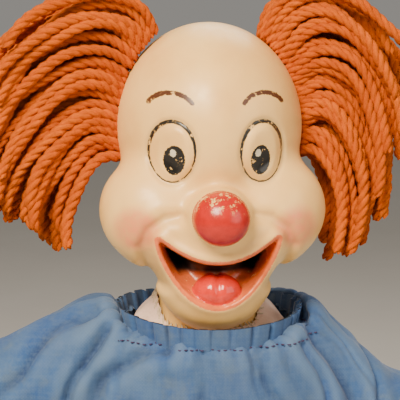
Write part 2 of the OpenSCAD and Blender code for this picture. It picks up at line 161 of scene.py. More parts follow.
def noise3(p, scale, seed):
    """Smooth gradient noise at points p (n x 3), about -0.7 to 0.7."""
    q = np.asarray(p, float) * scale + seed * 17.31
    i = np.floor(q).astype(int)
    f = q - i
    u = f * f * f * (f * (f * 6 - 15) + 10)
    out = 0
    for corner in np.ndindex(2, 2, 2):
        key, weight = 0, 1
        for axis in range(3):
            key = NOISE_ORDER[(key + i[:, axis] + corner[axis]) & 255]
            weight = weight * (u[:, axis] if corner[axis] else 1 - u[:, axis])
        slope = NOISE_SLOPES[key]
        out = out + sum(slope[:, k] * (f[:, k] - corner[k]) for k in range(3)) * weight
    return out


def fractal(p, scale, octaves, seed):
    """Noise with finer and weaker octaves on top."""
    out, amp = 0, 1.0
    for o in range(octaves):
        out = out + amp * noise3(p, scale * 2**o, seed + o)
        amp *= 0.5
    return out


def level_set(fn, lo, hi, h, *more):
    """Quads of the surface where fn(X, Y, Z, *more) is 0, as (points in mm, faces). h is the grid's step."""
    ax = [np.arange(lo[i], hi[i] + h, h, dtype=np.float32) for i in range(3)]
    D = fn(ax[0][:, None, None], ax[1][None, :, None], ax[2][None, None, :], *more)
    D = np.broadcast_to(D, tuple(len(a) for a in ax))
    D = np.ascontiguousarray(np.clip(D, -3 * h, 3 * h), dtype=np.float32)
    grid = vdb.FloatGrid(3 * h)
    grid.copyFromArray(D)
    pts, tris, quads = grid.convertToPolygons(isovalue=0.0, adaptivity=0.0)
    pts = np.asarray(pts, float) * h + np.array(lo)
    quads = np.asarray(quads, int)
    a, b, c, d = (pts[quads[:, i]] for i in range(4))
    volume = np.einsum("ij,ij->i", a, np.cross(b, c)).sum()
    volume += np.einsum("ij,ij->i", a, np.cross(c, d)).sum()
    if volume < 0:
        quads = quads[:, ::-1]
    return pts, quads


def ring_grid(rows):
    """Points and faces of a sheet given as rows of points round a ring (rows x columns x 3)."""
    m, n = rows.shape[:2]
    i, j = np.meshgrid(np.arange(m - 1), np.arange(n), indexing="ij")
    j2 = (j + 1) % n
    f = np.stack([i * n + j, i * n + j2, (i + 1) * n + j2, (i + 1) * n + j], -1).reshape(-1, 4)
    return rows.reshape(-1, 3), f


def ring_angles(n):
    return np.linspace(0, 2 * math.pi, n, endpoint=False)


def rings_round(path, u, v, r, sides):
    """Rows of points round a path, in the plane of u and v at each of its points."""
    b = ring_angles(sides)
    across, up = r[:, None] * np.cos(b), r[:, None] * np.sin(b)
    return path[:, None, :] + across[:, :, None] * u[:, None, :] + up[:, :, None] * v[:, None, :]


def vertex_normals(pts, faces):
    a, b = pts[faces[:, 2]] - pts[faces[:, 0]], pts[faces[:, -1]] - pts[faces[:, 1]]
    n = np.cross(a, b)
    out = np.zeros_like(pts)
    for i in range(faces.shape[1]):
        np.add.at(out, faces[:, i], n)
    return out / np.maximum(np.linalg.norm(out, axis=1), 1e-9)[:, None]


def relax(pts, faces, rounds, share):
    """Evens the points out along the mesh."""
    e = np.vstack([faces[:, [i, (i + 1) % faces.shape[1]]] for i in range(faces.shape[1])])
    e = np.vstack([e, e[:, ::-1]])
    count = np.bincount(e[:, 0], minlength=len(pts))[:, None]
    for _ in range(rounds):
        total = [np.bincount(e[:, 0], weights=pts[e[:, 1], k], minlength=len(pts)) for k in range(3)]
        pts = pts * (1 - share) + share * np.stack(total, 1) / np.maximum(count, 1)
    return pts


def mesh_object(name, pts, faces, attrs=None):
    """A mesh from points in mm. faces is an array, or a list of arrays with 3 and 4 corners."""
    groups = [np.asarray(f, np.int32) for f in (faces if isinstance(faces, list) else [faces])]
    groups = [g for g in groups if len(g)]
    me = bpy.data.meshes.new(name)
    me.vertices.add(len(pts))
    me.vertices.foreach_set("co", (np.asarray(pts, np.float32) * MM).ravel())
    loops = np.concatenate([g.ravel() for g in groups])
    sizes = np.concatenate([np.full(len(g), g.shape[1], np.int32) for g in groups])
    starts = np.concatenate([[0], np.cumsum(sizes)[:-1]]).astype(np.int32)
    me.loops.add(len(loops))
    me.loops.foreach_set("vertex_index", loops)
    me.polygons.add(len(sizes))
    me.polygons.foreach_set("loop_start", starts)
    me.polygons.foreach_set("use_smooth", np.full(len(sizes), True))
    for key, values in (attrs or {}).items():
        layer = me.attributes.new(key, "FLOAT", "POINT")
        layer.data.foreach_set("value", np.asarray(values, np.float32))
    me.update()
    me.validate()
    obj = bpy.data.objects.new(name, me)
    scene.collection.objects.link(obj)
    return obj


def place(piece, look, body, slot, *stands_for):
    """Gives a finished piece its material and the body that it moves with."""
    look.on(piece)
    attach(piece, body)
    if stands_for:
        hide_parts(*stands_for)


# ---------------------------------------------------------------- node materials
class Mat:
    """A small builder for procedural materials."""

    def __init__(self, name):
        self.mat = bpy.data.materials.new(name)
        self.mat.use_nodes = True
        self.nt = self.mat.node_tree
        self.bsdf = self.nt.nodes["Principled BSDF"]

    def node(self, kind, **props):
        n = self.nt.nodes.new(kind)
        for k, v in props.items():
            setattr(n, k, v)
        return n

    def put(self, socket, value):
        if isinstance(value, bpy.types.NodeSocket):
            self.nt.links.new(value, socket)
        elif value is not None:
            if socket.type == "RGBA" and len(value) == 3:
                value = (*value, 1)
            socket.default_value = value

    def set(self, **values):
        for k, v in values.items():
            self.put(self.bsdf.inputs[k.replace("_", " ")], v)

    def attr(self, name):
        return self.node("ShaderNodeAttribute", attribute_name=name).outputs["Fac"]

    def math(self, op, a, b=None, c=None):
        n = self.node("ShaderNodeMath", operation=op)
        for s, v in zip(n.inputs, (a, b, c)):
            self.put(s, v)
        return n.outputs[0]

    def times(self, a, b):
        return self.math("MULTIPLY", a, b)

    def plus(self, a, b):
        return self.math("ADD", a, b)

    def minus(self, a, b):
        return self.math("SUBTRACT", a, b)

    def scaled(self, vector, factors):
        n = self.node("ShaderNodeVectorMath", operation="MULTIPLY")
        self.put(n.inputs[0], vector)
        self.put(n.inputs[1], factors)
        return n.outputs[0]

    def xyz(self, vector):
        n = self.node("ShaderNodeSeparateXYZ")
        self.put(n.inputs[0], vector)
        return n.outputs[:3]

    def coords(self):
        return self.node("ShaderNodeTexCoord").outputs["Object"]

    def noise(self, scale, detail, rough, vector=None, distortion=0.0):
        n = self.node("ShaderNodeTexNoise")
        self.put(n.inputs["Vector"], vector if vector is not None else self.coords())
        for key, v in zip(("Scale", "Detail", "Roughness", "Distortion"), (scale, detail, rough, distortion)):
            n.inputs[key].default_value = v
        return n.outputs["Fac"]

    def threads(self, scale, rough, stretch):
        """Fine streaks that run both up and across, as the threads of woven cloth do."""
        co = self.coords()
        warp = self.noise(scale, 3, rough, self.scaled(co, (1.0, 1.0, stretch)))
        weft = self.noise(scale, 3, rough, self.scaled(co, (stretch, stretch, 1.0)))
        return self.times(self.plus(warp, weft), 0.5)

    def span(self, v, a, b, c=0.0, d=1.0, smooth=True):
        """Turns values from a to b into values from c to d, and holds them at those ends."""
        n = self.node("ShaderNodeMapRange", interpolation_type="SMOOTHSTEP" if smooth else "LINEAR")
        self.put(n.inputs["Value"], v)
        for k, x in zip(("From Min", "From Max", "To Min", "To Max"), (a, b, c, d)):
            n.inputs[k].default_value = x
        return n.outputs["Result"]

    def mix(self, fac, a, b):
        n = self.node("ShaderNodeMix", data_type="RGBA")
        self.put(n.inputs["Factor"], fac)
        self.put(n.inputs[6], a)
        self.put(n.inputs[7], b)
        return n.outputs[2]

    def mixf(self, fac, a, b):
        n = self.node("ShaderNodeMix", data_type="FLOAT")
        self.put(n.inputs["Factor"], fac)
        self.put(n.inputs[2], a)
        self.put(n.inputs[3], b)
        return n.outputs[0]

    def bump(self, height, distance, strength, normal=None):
        n = self.node("ShaderNodeBump")
        n.inputs["Strength"].default_value = strength
        n.inputs["Distance"].default_value = distance
        self.put(n.inputs["Height"], height)
        self.put(n.inputs["Normal"], normal)
        return n.outputs["Normal"]

    def on(self, obj):
        obj.data.materials.clear()
        obj.data.materials.append(self.mat)


def metal(name, colour, rough):
    m = Mat(name)
    n = m.noise(900, 3, 0.6)
    m.set(
        Base_Color=m.mix(m.span(n, 0.35, 0.7), colour, [c * 0.72 for c in colour]),
        Metallic=1.0,
        Roughness=m.span(n, 0.2, 0.8, rough - 0.08, rough + 0.14),
        Normal=m.bump(n, 0.00003, 0.5),
    )
    return m


def wood_material(name, light, dark):
    m = Mat(name)
    stretched = m.scaled(m.coords(), (1.0, 1.0, 0.12))
    grain = m.noise(520, 6, 0.65, stretched, 0.6)
    rings = m.noise(150, 2, 0.5, stretched, 1.2)
    fac = m.math("MULTIPLY_ADD", rings, 0.6, m.times(grain, 0.5))
    m.set(
        Base_Color=m.mix(m.span(fac, 0.35, 0.75), light, dark),
        Roughness=m.span(grain, 0.3, 0.8, 0.42, 0.62),
        Normal=m.bump(grain, 0.00012, 0.5),
    )
    return m


steel = metal("wire_steel", (0.62, 0.62, 0.64), 0.3)
brass = metal("eye_brass", (0.72, 0.50, 0.20), 0.28)
wood = wood_material("sealed_wood", (0.66, 0.45, 0.25), (0.42, 0.25, 0.12))
for node_name, node_obj in frame["nodes"].items():
    slot_name = next(s["material_slot"] for s in frame["record"]["subparts"] if s["node"] == node_name)
    {"steel": steel, "brass": brass}.get(slot_name, wood).on(node_obj)

# ---------------------------------------------------------------- head
MOUTH_X, MOUTH_Z = 20.0, -41.0
UPPER_LIP = [(x, MOUTH_Z - 8.0 * (1 - (x / MOUTH_X) ** 2)) for x in np.linspace(-20, 20, 41)]
LOWER_LIP = [(x, MOUTH_Z - 23.0 * (1 - (x / MOUTH_X) ** 2) ** 0.75) for x in np.linspace(19.6, -19.6, 50)]
MOUTH = np.array(UPPER_LIP + LOWER_LIP)
EYE = arc(15.0, -12.0, 7.4, 10.2, 0, 360, 60)[:-1]
PUPIL = arc(14.4, -14.6, 3.5, 5.0, 0, 360, 40)[:-1]
SHINE = arc(13.2, -12.2, 1.0, 1.3, 0, 360, 20)[:-1]
SHINE_APART = 28.2
BROW = arc(15.5, 1.0, 8.0, 6.5, 30, 150)
CREASE = np.array([(12, -33), (18, -34), (23, -38), (25.5, -44), (24, -51), (19, -58)], float)
NOSE_C, NOSE_R = (0, -46.5, -32.5), (9.4, 8.6, 9.0)
TONGUE_C, TONGUE_R = (0, -31.5, -59.5), (8.2, 6.5, 5.8)
NECK_STUB_R, NECK_STUB_Z = 18, -82


def tongue_sdf(X, Y, Z):
    d = ell(X, Y, Z, TONGUE_C, TONGUE_R)
    return d + 0.9 * bump(X, 1.1) * step(-64, -57, Z)


def nose_sdf(X, Y, Z):
    return ell(X, Y, Z, NOSE_C, NOSE_R)


def head_sdf(X, Y, Z):
    A = np.abs(X)
    skull = ell(X, Y, Z, (0, 0, -6.5), (33.0, 40.5, 36.5))
    cheeks = ell(A, Y, Z, (17.0, -16.5, -34), (22.3, 20.5, 20.5))
    jaw = ell(X, Y, Z, (0, -20, -54.5), (20.5, 18.5, 21.8))
    muzzle = ell(X, Y, Z, (0, -29, -42), (18, 13, 13))
    neck = np.maximum(np.hypot(X, Y) - NECK_STUB_R, np.maximum(NECK_STUB_Z - Z, Z + 40))
    d = smin(smin(smin(smin(skull, cheeks, 6), jaw, 8), muzzle, 7), neck, 5)
    # the features are pressed in and raised on the front only
    front = step(-6, -16, Y)
    d = d + front * 1.9 * bump(A - 15, 10) * bump(Z + 12, 12)
    eye = line_distance(A[:, 0, :], Z[0], EYE, True)[:, None, :]
    d = d - front * 1.5 * step(0.2, -3.0, eye)
    d = d + front * 0.55 * bump(eye - 0.5, 0.75)
    crease = line_distance(A[:, 0, :], Z[0], CREASE)[:, None, :]
    d = d + front * (1.3 * bump(crease, 2.0) - 0.5 * bump(crease - 4, 3))
    nose_root = ell(X, Y, Z, (0, -39.5, -33), (10.8, 8, 10))
    d = smin(d, nose_root, 4)
    mouth = line_distance(X[:, 0, :], Z[0], MOUTH, True)[:, None, :]
    d = d - front * 1.2 * bump(mouth - 1.5, 1.9)
    d = d + front * 10.5 * (1 - np.exp(np.minimum(mouth, 0) / 2.0))
    d = smin(d, tongue_sdf(X, Y, Z), 1.2)
    return smin(d, nose_sdf(X, Y, Z), 0.9)


h_head = 0.60
pts, quads = level_set(head_sdf, (-44, -58, -84), (44, 44, 37), h_head)
pts = relax(pts, quads, 1, 0.3)
x, y, z = pts.T
# the paint lies 0.25 mm beside the moulded middle, and none of it reaches the back
ax = np.abs(x) + 0.25 * np.sign(x)
back = np.where(y > -7, 20.0, 0.0)
head = mesh_object(
    "head_skin",
    pts,
    quads,
    {
        "d_eye": line_distance(ax, z, EYE, True) + back,
        "d_pupil": line_distance(ax, z, PUPIL, True) + back,
        "d_shine": line_distance(np.where(x < 0, x + SHINE_APART, x), z, SHINE, True) + back,
        "d_brow": line_distance(ax, z, BROW) + back,
        "d_crease": line_distance(ax, z, CREASE) + back,
        "d_blush": np.hypot(ax - 27, (z + 38)) + back,
        "d_mouth": line_distance(x, z, MOUTH, True) + back,
        "d_tongue": tongue_sdf(x, y, z) + back,
        "d_nose": nose_sdf(x, y, z),
        "up": z,
    },
)


def head_material():
    m = Mat("painted_vinyl")
    fine = m.noise(2200, 3, 0.6)
    mid = m.noise(340, 4, 0.6)
    big = m.noise(45, 3, 0.55)
    specks = m.span(m.noise(1500, 2, 0.7), 0.70, 0.78)
    ivory = m.mix(m.span(big, 0.3, 0.72), (0.93, 0.595, 0.205), (0.83, 0.485, 0.150))
    ivory = m.mix(m.times(specks, m.span(mid, 0.45, 0.7, 0, 0.35)), ivory, (0.25, 0.17, 0.08))
    # darker along the moulded cheek crease: painted shade
    crease = m.span(m.attr("d_crease"), 3.0, 0.0, 0, 0.22)
    ivory = m.mix(crease, ivory, (0.42, 0.28, 0.14))
    # darker in the moulded groove round each eye: painted shade
    groove = m.span(m.math("ABSOLUTE", m.minus(m.attr("d_eye"), 0.5)), 1.6, 0.0, 0, 0.3)
    ivory = m.mix(groove, ivory, (0.40, 0.27, 0.14))
    wobble = m.times(m.minus(m.noise(700, 2, 0.5), 0.5), 0.5)
    ragged = m.times(m.minus(fine, 0.5), 0.9)

    def inside(name, edge=0.0, soft=0.10):
        d = m.plus(m.plus(m.attr(name), wobble), ragged)
        return m.span(d, edge + soft, edge - soft)

    def worn(mask, keep, low, high):
        gone = m.span(m.noise(430, 5, 0.75), low, high)
        return m.times(mask, m.minus(1.0, m.times(gone, keep)))

    colour, gloss = ivory, m.span(mid, 0.3, 0.75, 0.34, 0.5)

    def paint(mask, tint, rough=0.28):
        nonlocal colour, gloss
        shade = m.mix(m.span(mid, 0.3, 0.7), tint, [c * 0.8 for c in tint])
        colour = m.mix(mask, colour, shade)
        gloss = m.mixf(mask, gloss, rough)

    blush = m.times(m.span(m.attr("d_blush"), 9.5, 4.5), m.span(mid, 0.2, 0.8, 0.75, 0.45))
    paint(blush, (0.80, 0.16, 0.08), 0.4)
    paint(worn(inside("d_brow", 0.75), 1.0, 0.56, 0.62), (0.10, 0.035, 0.015))
    ring = m.math("ABSOLUTE", m.plus(m.attr("d_eye"), wobble))
    thick = m.span(m.attr("up"), -18.0, -4.0, 0.25, 0.62)
    ring = m.span(m.minus(ring, thick), 0.12, -0.12)
    paint(worn(ring, 1.0, 0.55, 0.60), (0.02, 0.018, 0.015))
    paint(worn(inside("d_pupil"), 1.0, 0.60, 0.64), (0.012, 0.011, 0.01), 0.2)
    paint(inside("d_shine", 0, 0.12), (0.75, 0.68, 0.5))
    paint(worn(inside("d_mouth", 1.5, 0.25), 0.9, 0.62, 0.68), (0.80, 0.17, 0.045), 0.25)
    roof = m.times(inside("d_mouth", -1.4, 0.3), m.span(m.attr("up"), -55.5, -53.0))
    paint(roof, (0.02, 0.012, 0.01), 0.35)
    paint(m.span(m.attr("d_tongue"), 0.5, 0.2), (0.72, 0.035, 0.02), 0.12)
    nose = m.span(m.plus(m.attr("d_nose"), ragged), 0.75, 0.45)
    chips = m.span(m.noise(210, 6, 0.8), 0.55, 0.60)
    rub = m.times(chips, m.span(m.attr("up"), -31.5, -26.0))
    paint(m.times(nose, m.minus(1.0, rub)), (0.54, 0.014, 0.008), 0.24)
    m.set(
        Base_Color=colour,
        Roughness=gloss,
        Normal=m.bump(fine, 0.00004, 0.35),
        Subsurface_Weight=0.12,
        Subsurface_Radius=(0.004, 0.0025, 0.0015),
        Subsurface_Scale=1.0,
        Coat_Weight=0.06,
        Coat_Roughness=0.2,
    )
    return m


place(head, head_material(), "head", "vinyl", "head_shell")


# ---------------------------------------------------------------- yarn
PLY_R, TWIST_R, TWIST_PITCH = 1.22, 0.88, 11.5
PLY_SIDES, YARN_STEP = 6, 1.4


def yarn_mesh(name, paths):
    """Three-ply strands along the paths (each n x 3 in mm)."""
    all_p, all_f, along, lane, tint = [], [], [], [], []
    base = 0
    for k, path in enumerate(paths):
        along_path = lengths_along(path)
        length = along_path[-1]
        n = max(8, int(length / YARN_STEP))
        s = np.linspace(0, length, n)
        c = np.stack([np.interp(s, along_path, path[:, i]) for i in range(3)], 1)
        for _ in range(2):
            c[1:-1] = 0.5 * c[1:-1] + 0.25 * (c[:-2] + c[2:])
        t = unit(np.gradient(c, axis=0))
        u = np.zeros_like(t)
        ref = np.array([0.0, 1.0, 0.0])
        for i in range(n):
            ref = ref - t[i] * (ref @ t[i])
            ref /= np.linalg.norm(ref)
            u[i] = ref
        v = np.cross(t, u)
        rng = np.random.default_rng(1000 + k)
        phase = rng.uniform(0, 2 * math.pi)
        shade = rng.uniform(-1, 1)
        size = 1 + 0.07 * np.sin(s / 7 + phase) + rng.uniform(-0.06, 0.06)
        ends = np.minimum(1, np.minimum(s, length - s) / 2.2 + 0.25)
        for ply in range(3):
            a = phase + ply * 2 * math.pi / 3 + 2 * math.pi * s / TWIST_PITCH
            centre = c + (TWIST_R * size)[:, None] * (np.cos(a)[:, None] * u + np.sin(a)[:, None] * v)
            p, f = ring_grid(rings_round(centre, u, v, PLY_R * size * ends, PLY_SIDES))
            all_p.append(p)
            all_f.append(f + base)
            base += len(p)
            along.append(np.repeat(s, PLY_SIDES))
            lane.append(np.tile(np.cos(ring_angles(PLY_SIDES)), n) + ply * 3.1 + k * 7.7)
            tint.append(np.full(len(p), shade))
    attrs = {"along": np.concatenate(along), "lane": np.concatenate(lane), "tint": np.concatenate(tint)}
    return mesh_object(name, np.vstack(all_p), np.vstack(all_f), attrs)


def yarn_material(name, light, dark, deep):
    m = Mat(name)
    along, lane = m.attr("along"), m.attr("lane")
    strand = m.node("ShaderNodeCombineXYZ")
    m.put(strand.inputs[0], m.times(along, 0.35))
    m.put(strand.inputs[1], m.times(lane, 5.0))
    fibres = m.noise(1.6, 4, 0.7, strand.outputs[0], 0.4)
    coarse = m.noise(160, 3, 0.6)
    tint = m.span(m.attr("tint"), -1, 1, smooth=False)
    base = m.mix(tint, light, dark)
    base = m.mix(m.span(fibres, 0.35, 0.7, 0, 0.55), base, deep)
    base = m.mix(m.span(coarse, 0.35, 0.75, 0, 0.35), base, [min(1, c * 1.25) for c in light])
    fuzz = m.noise(4200, 3, 0.7)
    m.set(
        Base_Color=base,
        Roughness=0.85,
        Normal=m.bump(fuzz, 0.00022, 0.55, m.bump(fibres, 0.0004, 0.8)),
        Sheen_Weight=0.05,
        Sheen_Roughness=0.5,
        Sheen_Tint=(1.0, 0.45, 0.08, 1),
        Specular_IOR_Level=0.12,
    )
    return m


# strands seen from the front, as points (distance from the middle, z), for each side of the head
HAIR_GUIDES = {
    -1: [
        [(19, 26), (25, 36), (38, 40), (54, 36), (68, 26), (80, 12)],
        [(24, 20), (34, 29), (48, 29), (63, 20), (76, 6), (84, -8)],
        [(29, 11), (40, 17), (54, 14), (68, 3), (78, -10), (83, -22)],
        [(30, 1), (42, 6), (55, 1), (67, -11), (74, -24), (76, -35)],
        [(31, -9), (42, -6), (53, -13), (62, -25), (66, -36), (65, -44)],
        [(30, -18), (39, -18), (47, -25), (52, -35), (53, -44), (51, -50)],
    ],
    1: [
        [(20, 24), (24, 36), (36, 42), (51, 38), (64, 27), (73, 12)],
        [(24, 18), (32, 29), (45, 31), (58, 21), (67, 6), (70, -9)],
        [(28, 10), (38, 19), (51, 15), (60, 1), (64, -15), (63, -28)],
        [(30, 1), (40, 8), (51, 2), (58, -13), (60, -29), (56, -42)],
        [(31, -8), (40, -3), (49, -12), (54, -27), (54, -41), (50, -50)],
        [(30, -17), (37, -16), (44, -25), (47, -37), (46, -46), (43, -52)],
    ],
}


def curve_through(pts, n):
    """n points on a Catmull-Rom curve through pts."""
    p = np.vstack([2 * pts[0] - pts[1], pts, 2 * pts[-1] - pts[-2]])
    t = np.linspace(0, len(pts) - 1 - 1e-6, n)
    i = t.astype(int)
    f = (t - i)[:, None]
    a, b, c, d = p[i], p[i + 1], p[i + 2], p[i + 3]
    return 0.5 * (2 * b + (c - a) * f + (2 * a - 5 * b + 4 * c - d) * f**2 + (3 * b - a - 3 * c + d) * f**3)


LAYERS, STRANDS, STRAND_POINTS = 6, 19, 60


def hair_paths(side, layers):
    """Strands that leave the side of the head, arch over and hang down."""
    rng = np.random.default_rng(31 + side)
    guides = np.array(HAIR_GUIDES[side], float)
    paths = []
    for layer in range(LAYERS):
        for i in range(STRANDS):
            f = (i + 0.5 * (layer % 2) + rng.uniform(-0.2, 0.2)) / (STRANDS - 0.5)
            f = min(max(f, 0.0), 1.0) * (len(guides) - 1.001)
            j = int(f)
            g = guides[j] * (1 - f + j) + guides[j + 1] * (f - j)
            spread = 1 + 0.018 * (layer - 2) + rng.uniform(-0.07, 0.07)
            u = np.linspace(0, 1, len(g))
            deep = layer + rng.uniform(-0.5, 0.5)
            y_root, y_mid, y_tip = -4 + 4.6 * layer, -12 + 6.6 * deep, -17.0 + 8.2 * deep
            y = np.interp(u, [0, 0.35, 1], [y_root, y_mid, y_tip])
            y = y + rng.uniform(-3.4, 3.4) * u
            drop = rng.uniform(-4.2, 4.2) - 0.9 * abs(layer - 2)
            guide = np.stack([side * g[:, 0] * (1 + (spread - 1) * u), y, g[:, 1] + drop * u], 1)
            c = curve_through(guide, STRAND_POINTS)
            s = np.linspace(0, 1, STRAND_POINTS)
            w1, w2, w3 = rng.uniform(0, 6.28, 3)
            c[:, 1] += 2.6 * np.sin(7 * s + w1) * s
            c[:, 2] += 2.5 * np.sin(8 * s + w2) * s + 0.8 * np.sin(17 * s + w3) * s
            end = int(STRAND_POINTS * rng.uniform(0.82, 1.0))
            if layer in layers:
                paths.append(c[:end])
    return paths


yarn = yarn_material("orange_yarn", (0.60, 0.118, 0.002), (0.46, 0.074, 0.001), (0.21, 0.024, 0.0005))
for side, word in SIDES:
    for part, layers in (("front", (0, 1, 2)), ("back", (3, 4, 5))):
        tuft = yarn_mesh(f"hair_{word}_{part}", hair_paths(side, layers))
        covered = ["hair_tuft_" + word, "hair_strip_" + word] if part == "front" else []
        place(tuft, yarn, "head", "yarn", *covered)


# ---------------------------------------------------------------- cloth
def thick_sheet(name, pts, faces, normals, thickness, attrs=None):
    """A sheet of cloth with an outer and an inner side, closed along its edges."""
    n = len(pts)
    a, b = faces, np.roll(faces, -1, axis=1)
    key, back = (a * n + b).ravel(), (b * n + a).ravel()
    free = ~np.isin(key, back)
    i, j = a.ravel()[free], b.ravel()[free]
    rim = np.stack([j, i, i + n, j + n], 1)
    both = np.vstack([pts, pts - normals * thickness])
    all_faces = np.vstack([faces, faces[:, ::-1] + n, rim])
    doubled = {k: np.concatenate([v, v]) for k, v in (attrs or {}).items()}
    obj = mesh_object(name, both, all_faces, doubled)
    obj.data.normals_split_custom_set_from_vertices(np.vstack([normals, -normals]).astype(np.float32))
    return obj


def outward(pts, faces, centre):
    """Faces turned so that they look away from a centre line point, and their point normals."""
    n = vertex_normals(pts, faces)
    if np.einsum("ij,ij->", n, pts - centre) < 0:
        faces, n = faces[:, ::-1], -n
    return faces, n


def tubes(name, paths, radius, sides=6):
    """Round threads along paths (each n x 3 in mm), closed at both ends."""
    all_p, quad_f, tri_f, base = [], [], [], 0
    for c in paths:
        n = len(c)
        t = unit(np.gradient(c, axis=0))
        ref = np.array([0.0, 0.0, 1.0]) if abs(t[0, 2]) < 0.9 else np.array([1.0, 0.0, 0.0])
        u = unit(np.cross(t, ref))
        taper = np.ones(n)
        taper[[0, -1]] = 0.45
        p, f = ring_grid(rings_round(c, u, np.cross(t, u), radius * taper, sides))
        all_p += [p, c[[0, -1]]]
        quad_f.append(f[:, [0, 3, 2, 1]] + base)
        k = np.arange(sides)
        first, last, end = base + n * sides, base + n * sides + 1, base + (n - 1) * sides
        tri_f.append(np.stack([np.full(sides, first), base + k, base + (k + 1) % sides], 1))
        tri_f.append(np.stack([np.full(sides, last), end + (k + 1) % sides, end + k], 1))
        base += n * sides + 2
    return mesh_object(name, np.vstack(all_p), [np.vstack(quad_f), np.vstack(tri_f)])


# ---------------------------------------------------------------- the suit's shape
NECK_R, NECK_Y, NECK_OPENING = (31.0, 29.0), -2.0, 1.13
ARM_X, LEG_X, ELBOW_Z, KNEE_Z = 73.5, 21.5, -168, -274
HAND_X, SHOE_X = 72, 21
SUIT_BOTTOM = -221


def neck_angle(x, y):
    """Angle round the neck: 0 at the front, a quarter turn at each side."""
    return np.arctan2(x / NECK_R[0], -(y - NECK_Y) / NECK_R[1])


def neck_radius(x, y):
    """Distance from the neck's middle, 1 on the gather line."""
    return np.hypot(x / NECK_R[0], (y - NECK_Y) / NECK_R[1])


def gather_z(a):
    """Height of the stitched gather line."""
    return -77.0 - 1.8 * np.cos(a) ** 2 - 0.4 * np.sin(a)


# height, half width, half depth, middle in Y
TORSO = np.array(
    [
        (-60, 33.0, 31.0, -2.0),
        (-78, 36.0, 33.0, -1.5),
        (-86, 42.0, 35.5, -1.0),
        (-95, 48.0, 37.0, 0.0),
        (-104, 53.5, 37.0, 0.0),
        (-114, 56.5, 37.0, 0.0),
        (-122, 53.0, 36.8, 0.0),
        (-132, 49.5, 36.2, 0.0),
        (-146, 47.0, 35.5, 0.0),
        (-164, 45.5, 34.0, 0.0),
        (-180, 45.5, 29.5, 0.0),
        (-196, 46.0, 27.0, 0.0),
        (-208, 45.0, 25.0, 0.0),
        (-221, 42.0, 20.0, 0.0),
    ],
    float,
)[::-1]


def torso_sdf(X, Y, Z):
    w, d, cy = (np.interp(Z, TORSO[:, 0], TORSO[:, i]) for i in (1, 2, 3))
    x, y = np.abs(X) / w, np.abs(Y - cy) / d
    k = (x**2.3 + y**2.3) ** (1 / 2.3)
    g = np.sqrt((x / w) ** 2 + (y / d) ** 2) / np.maximum(k, 1e-3)
    side = (k - 1) / np.maximum(g, 1 / 60)
    top = Z - gather_z(neck_angle(X, Y)) - 1.5
    return smax(side, np.maximum(SUIT_BOTTOM - Z, top), 6)


def shoulder_sdf(A, Y, Z, s):
    """The puffed top of a sleeve. The right-hand side of the view slopes more than the left."""
    y = (Y - 2) / 1.25
    if s < 0:
        return capsule(A, y, Z, (40, 0, -89), (74, 0, -105), 19.5, 19.0)
    puff = capsule(A, y, Z, (25, 0, -86.5), (55, 0, -113), 19.5, 19.0)
    return smin(puff, capsule(A, Y, Z, (57, 0, -117), (74.5, 0, -121.5), 16, 19), 6)


def sleeve_sdf(X, Y, Z, s):
    A = s * X
    d = shoulder_sdf(A, Y, Z, s)
    d = smin(d, capsule(A, Y, Z, (75, 0, -108 if s < 0 else -121), (75.5, 0, -142), 18.3, 16.8), 8)
    d = smin(d, capsule(A, Y, Z, (75.5, 0, -142), (74, 0, -168), 16.8, 16.3), 6)
    d = smin(d, capsule(A, Y, Z, (74, 0, -168), (72.5, -1, -197), 16.2, 14.6), 6)
    d = smin(d, capsule(A, Y, Z, (72.3, -1, -197), (72, 0, -215), 12.5, 9.0), 6)
    inner_wall = 57.2 - A - 32 * step(-126, -98, Z) - 60 * (Z > -98)
    return smax(d, inner_wall, 3)


def leg_sdf(X, Y, Z):
    A = np.abs(X)
    d = capsule(A, Y, Z, (22.5, 0, -204), (21.8, -1, -272), 20.5, 19.0)
    d = smin(d, capsule(A, Y, Z, (21.8, -1, -272), (21.2, 0, -305), 19.0, 17.8), 6)
    d = smin(d, capsule(A, Y, Z, (21, 0, -306), (21, 0, -329), 14.5, 10.8), 7)
    between_legs = 1.5 - A - 30 * step(SUIT_BOTTOM, -214, Z)
    return smax(d, between_legs, 2)


def suit_sdf(X, Y, Z):
    d = torso_sdf(X, Y, Z)
    for s in (1, -1):
        d = smin(d, sleeve_sdf(X, Y, Z, s), 3 + 7 * step(-126, -106, Z))
    d = smin(d, leg_sdf(X, Y, Z), 6)
    hole = np.maximum((neck_radius(X, Y) - NECK_OPENING) * NECK_R[1], gather_z(neck_angle(X, Y)) - Z)
    return smax(d, -hole, 3.5)


# ---------------------------------------------------------------- the suit's folds
SEAM_Y = 6
# long creases, as points (x, z) seen from the front, with their depth and half width
FRONT_CREASES = [
    ([(-41, -72), (-54, -76), (-62, -83), (-68, -92), (-75, -98), (-80, -110)], 2.0, 1.7),
    ([(-37, -76), (-41, -81), (-44, -85), (-48, -91), (-51, -98), (-53, -112)], 2.4, 1.5),
    ([(-17, -80), (-23, -81), (-30, -85), (-36, -89), (-41, -95), (-44, -108)], 2.2, 1.7),
    ([(30, -81), (32, -85), (36, -91), (39, -99), (40, -112)], 1.9, 1.4),
    ([(33, -73), (36, -81), (42, -89), (49, -101), (53, -116)], 3.0, 2.4),
    ([(56, -86), (58, -91), (60, -97), (60, -106), (58, -118)], 1.8, 1.4),
    ([(-5, -80), (-4, -90), (-7, -104), (-6, -122)], 1.1, 1.8),
    ([(14, -81), (16, -92), (21, -106), (22, -128)], 1.3, 2.2),
    ([(-30, -100), (-20, -118), (-18, -140)], 1.2, 2.4),
]
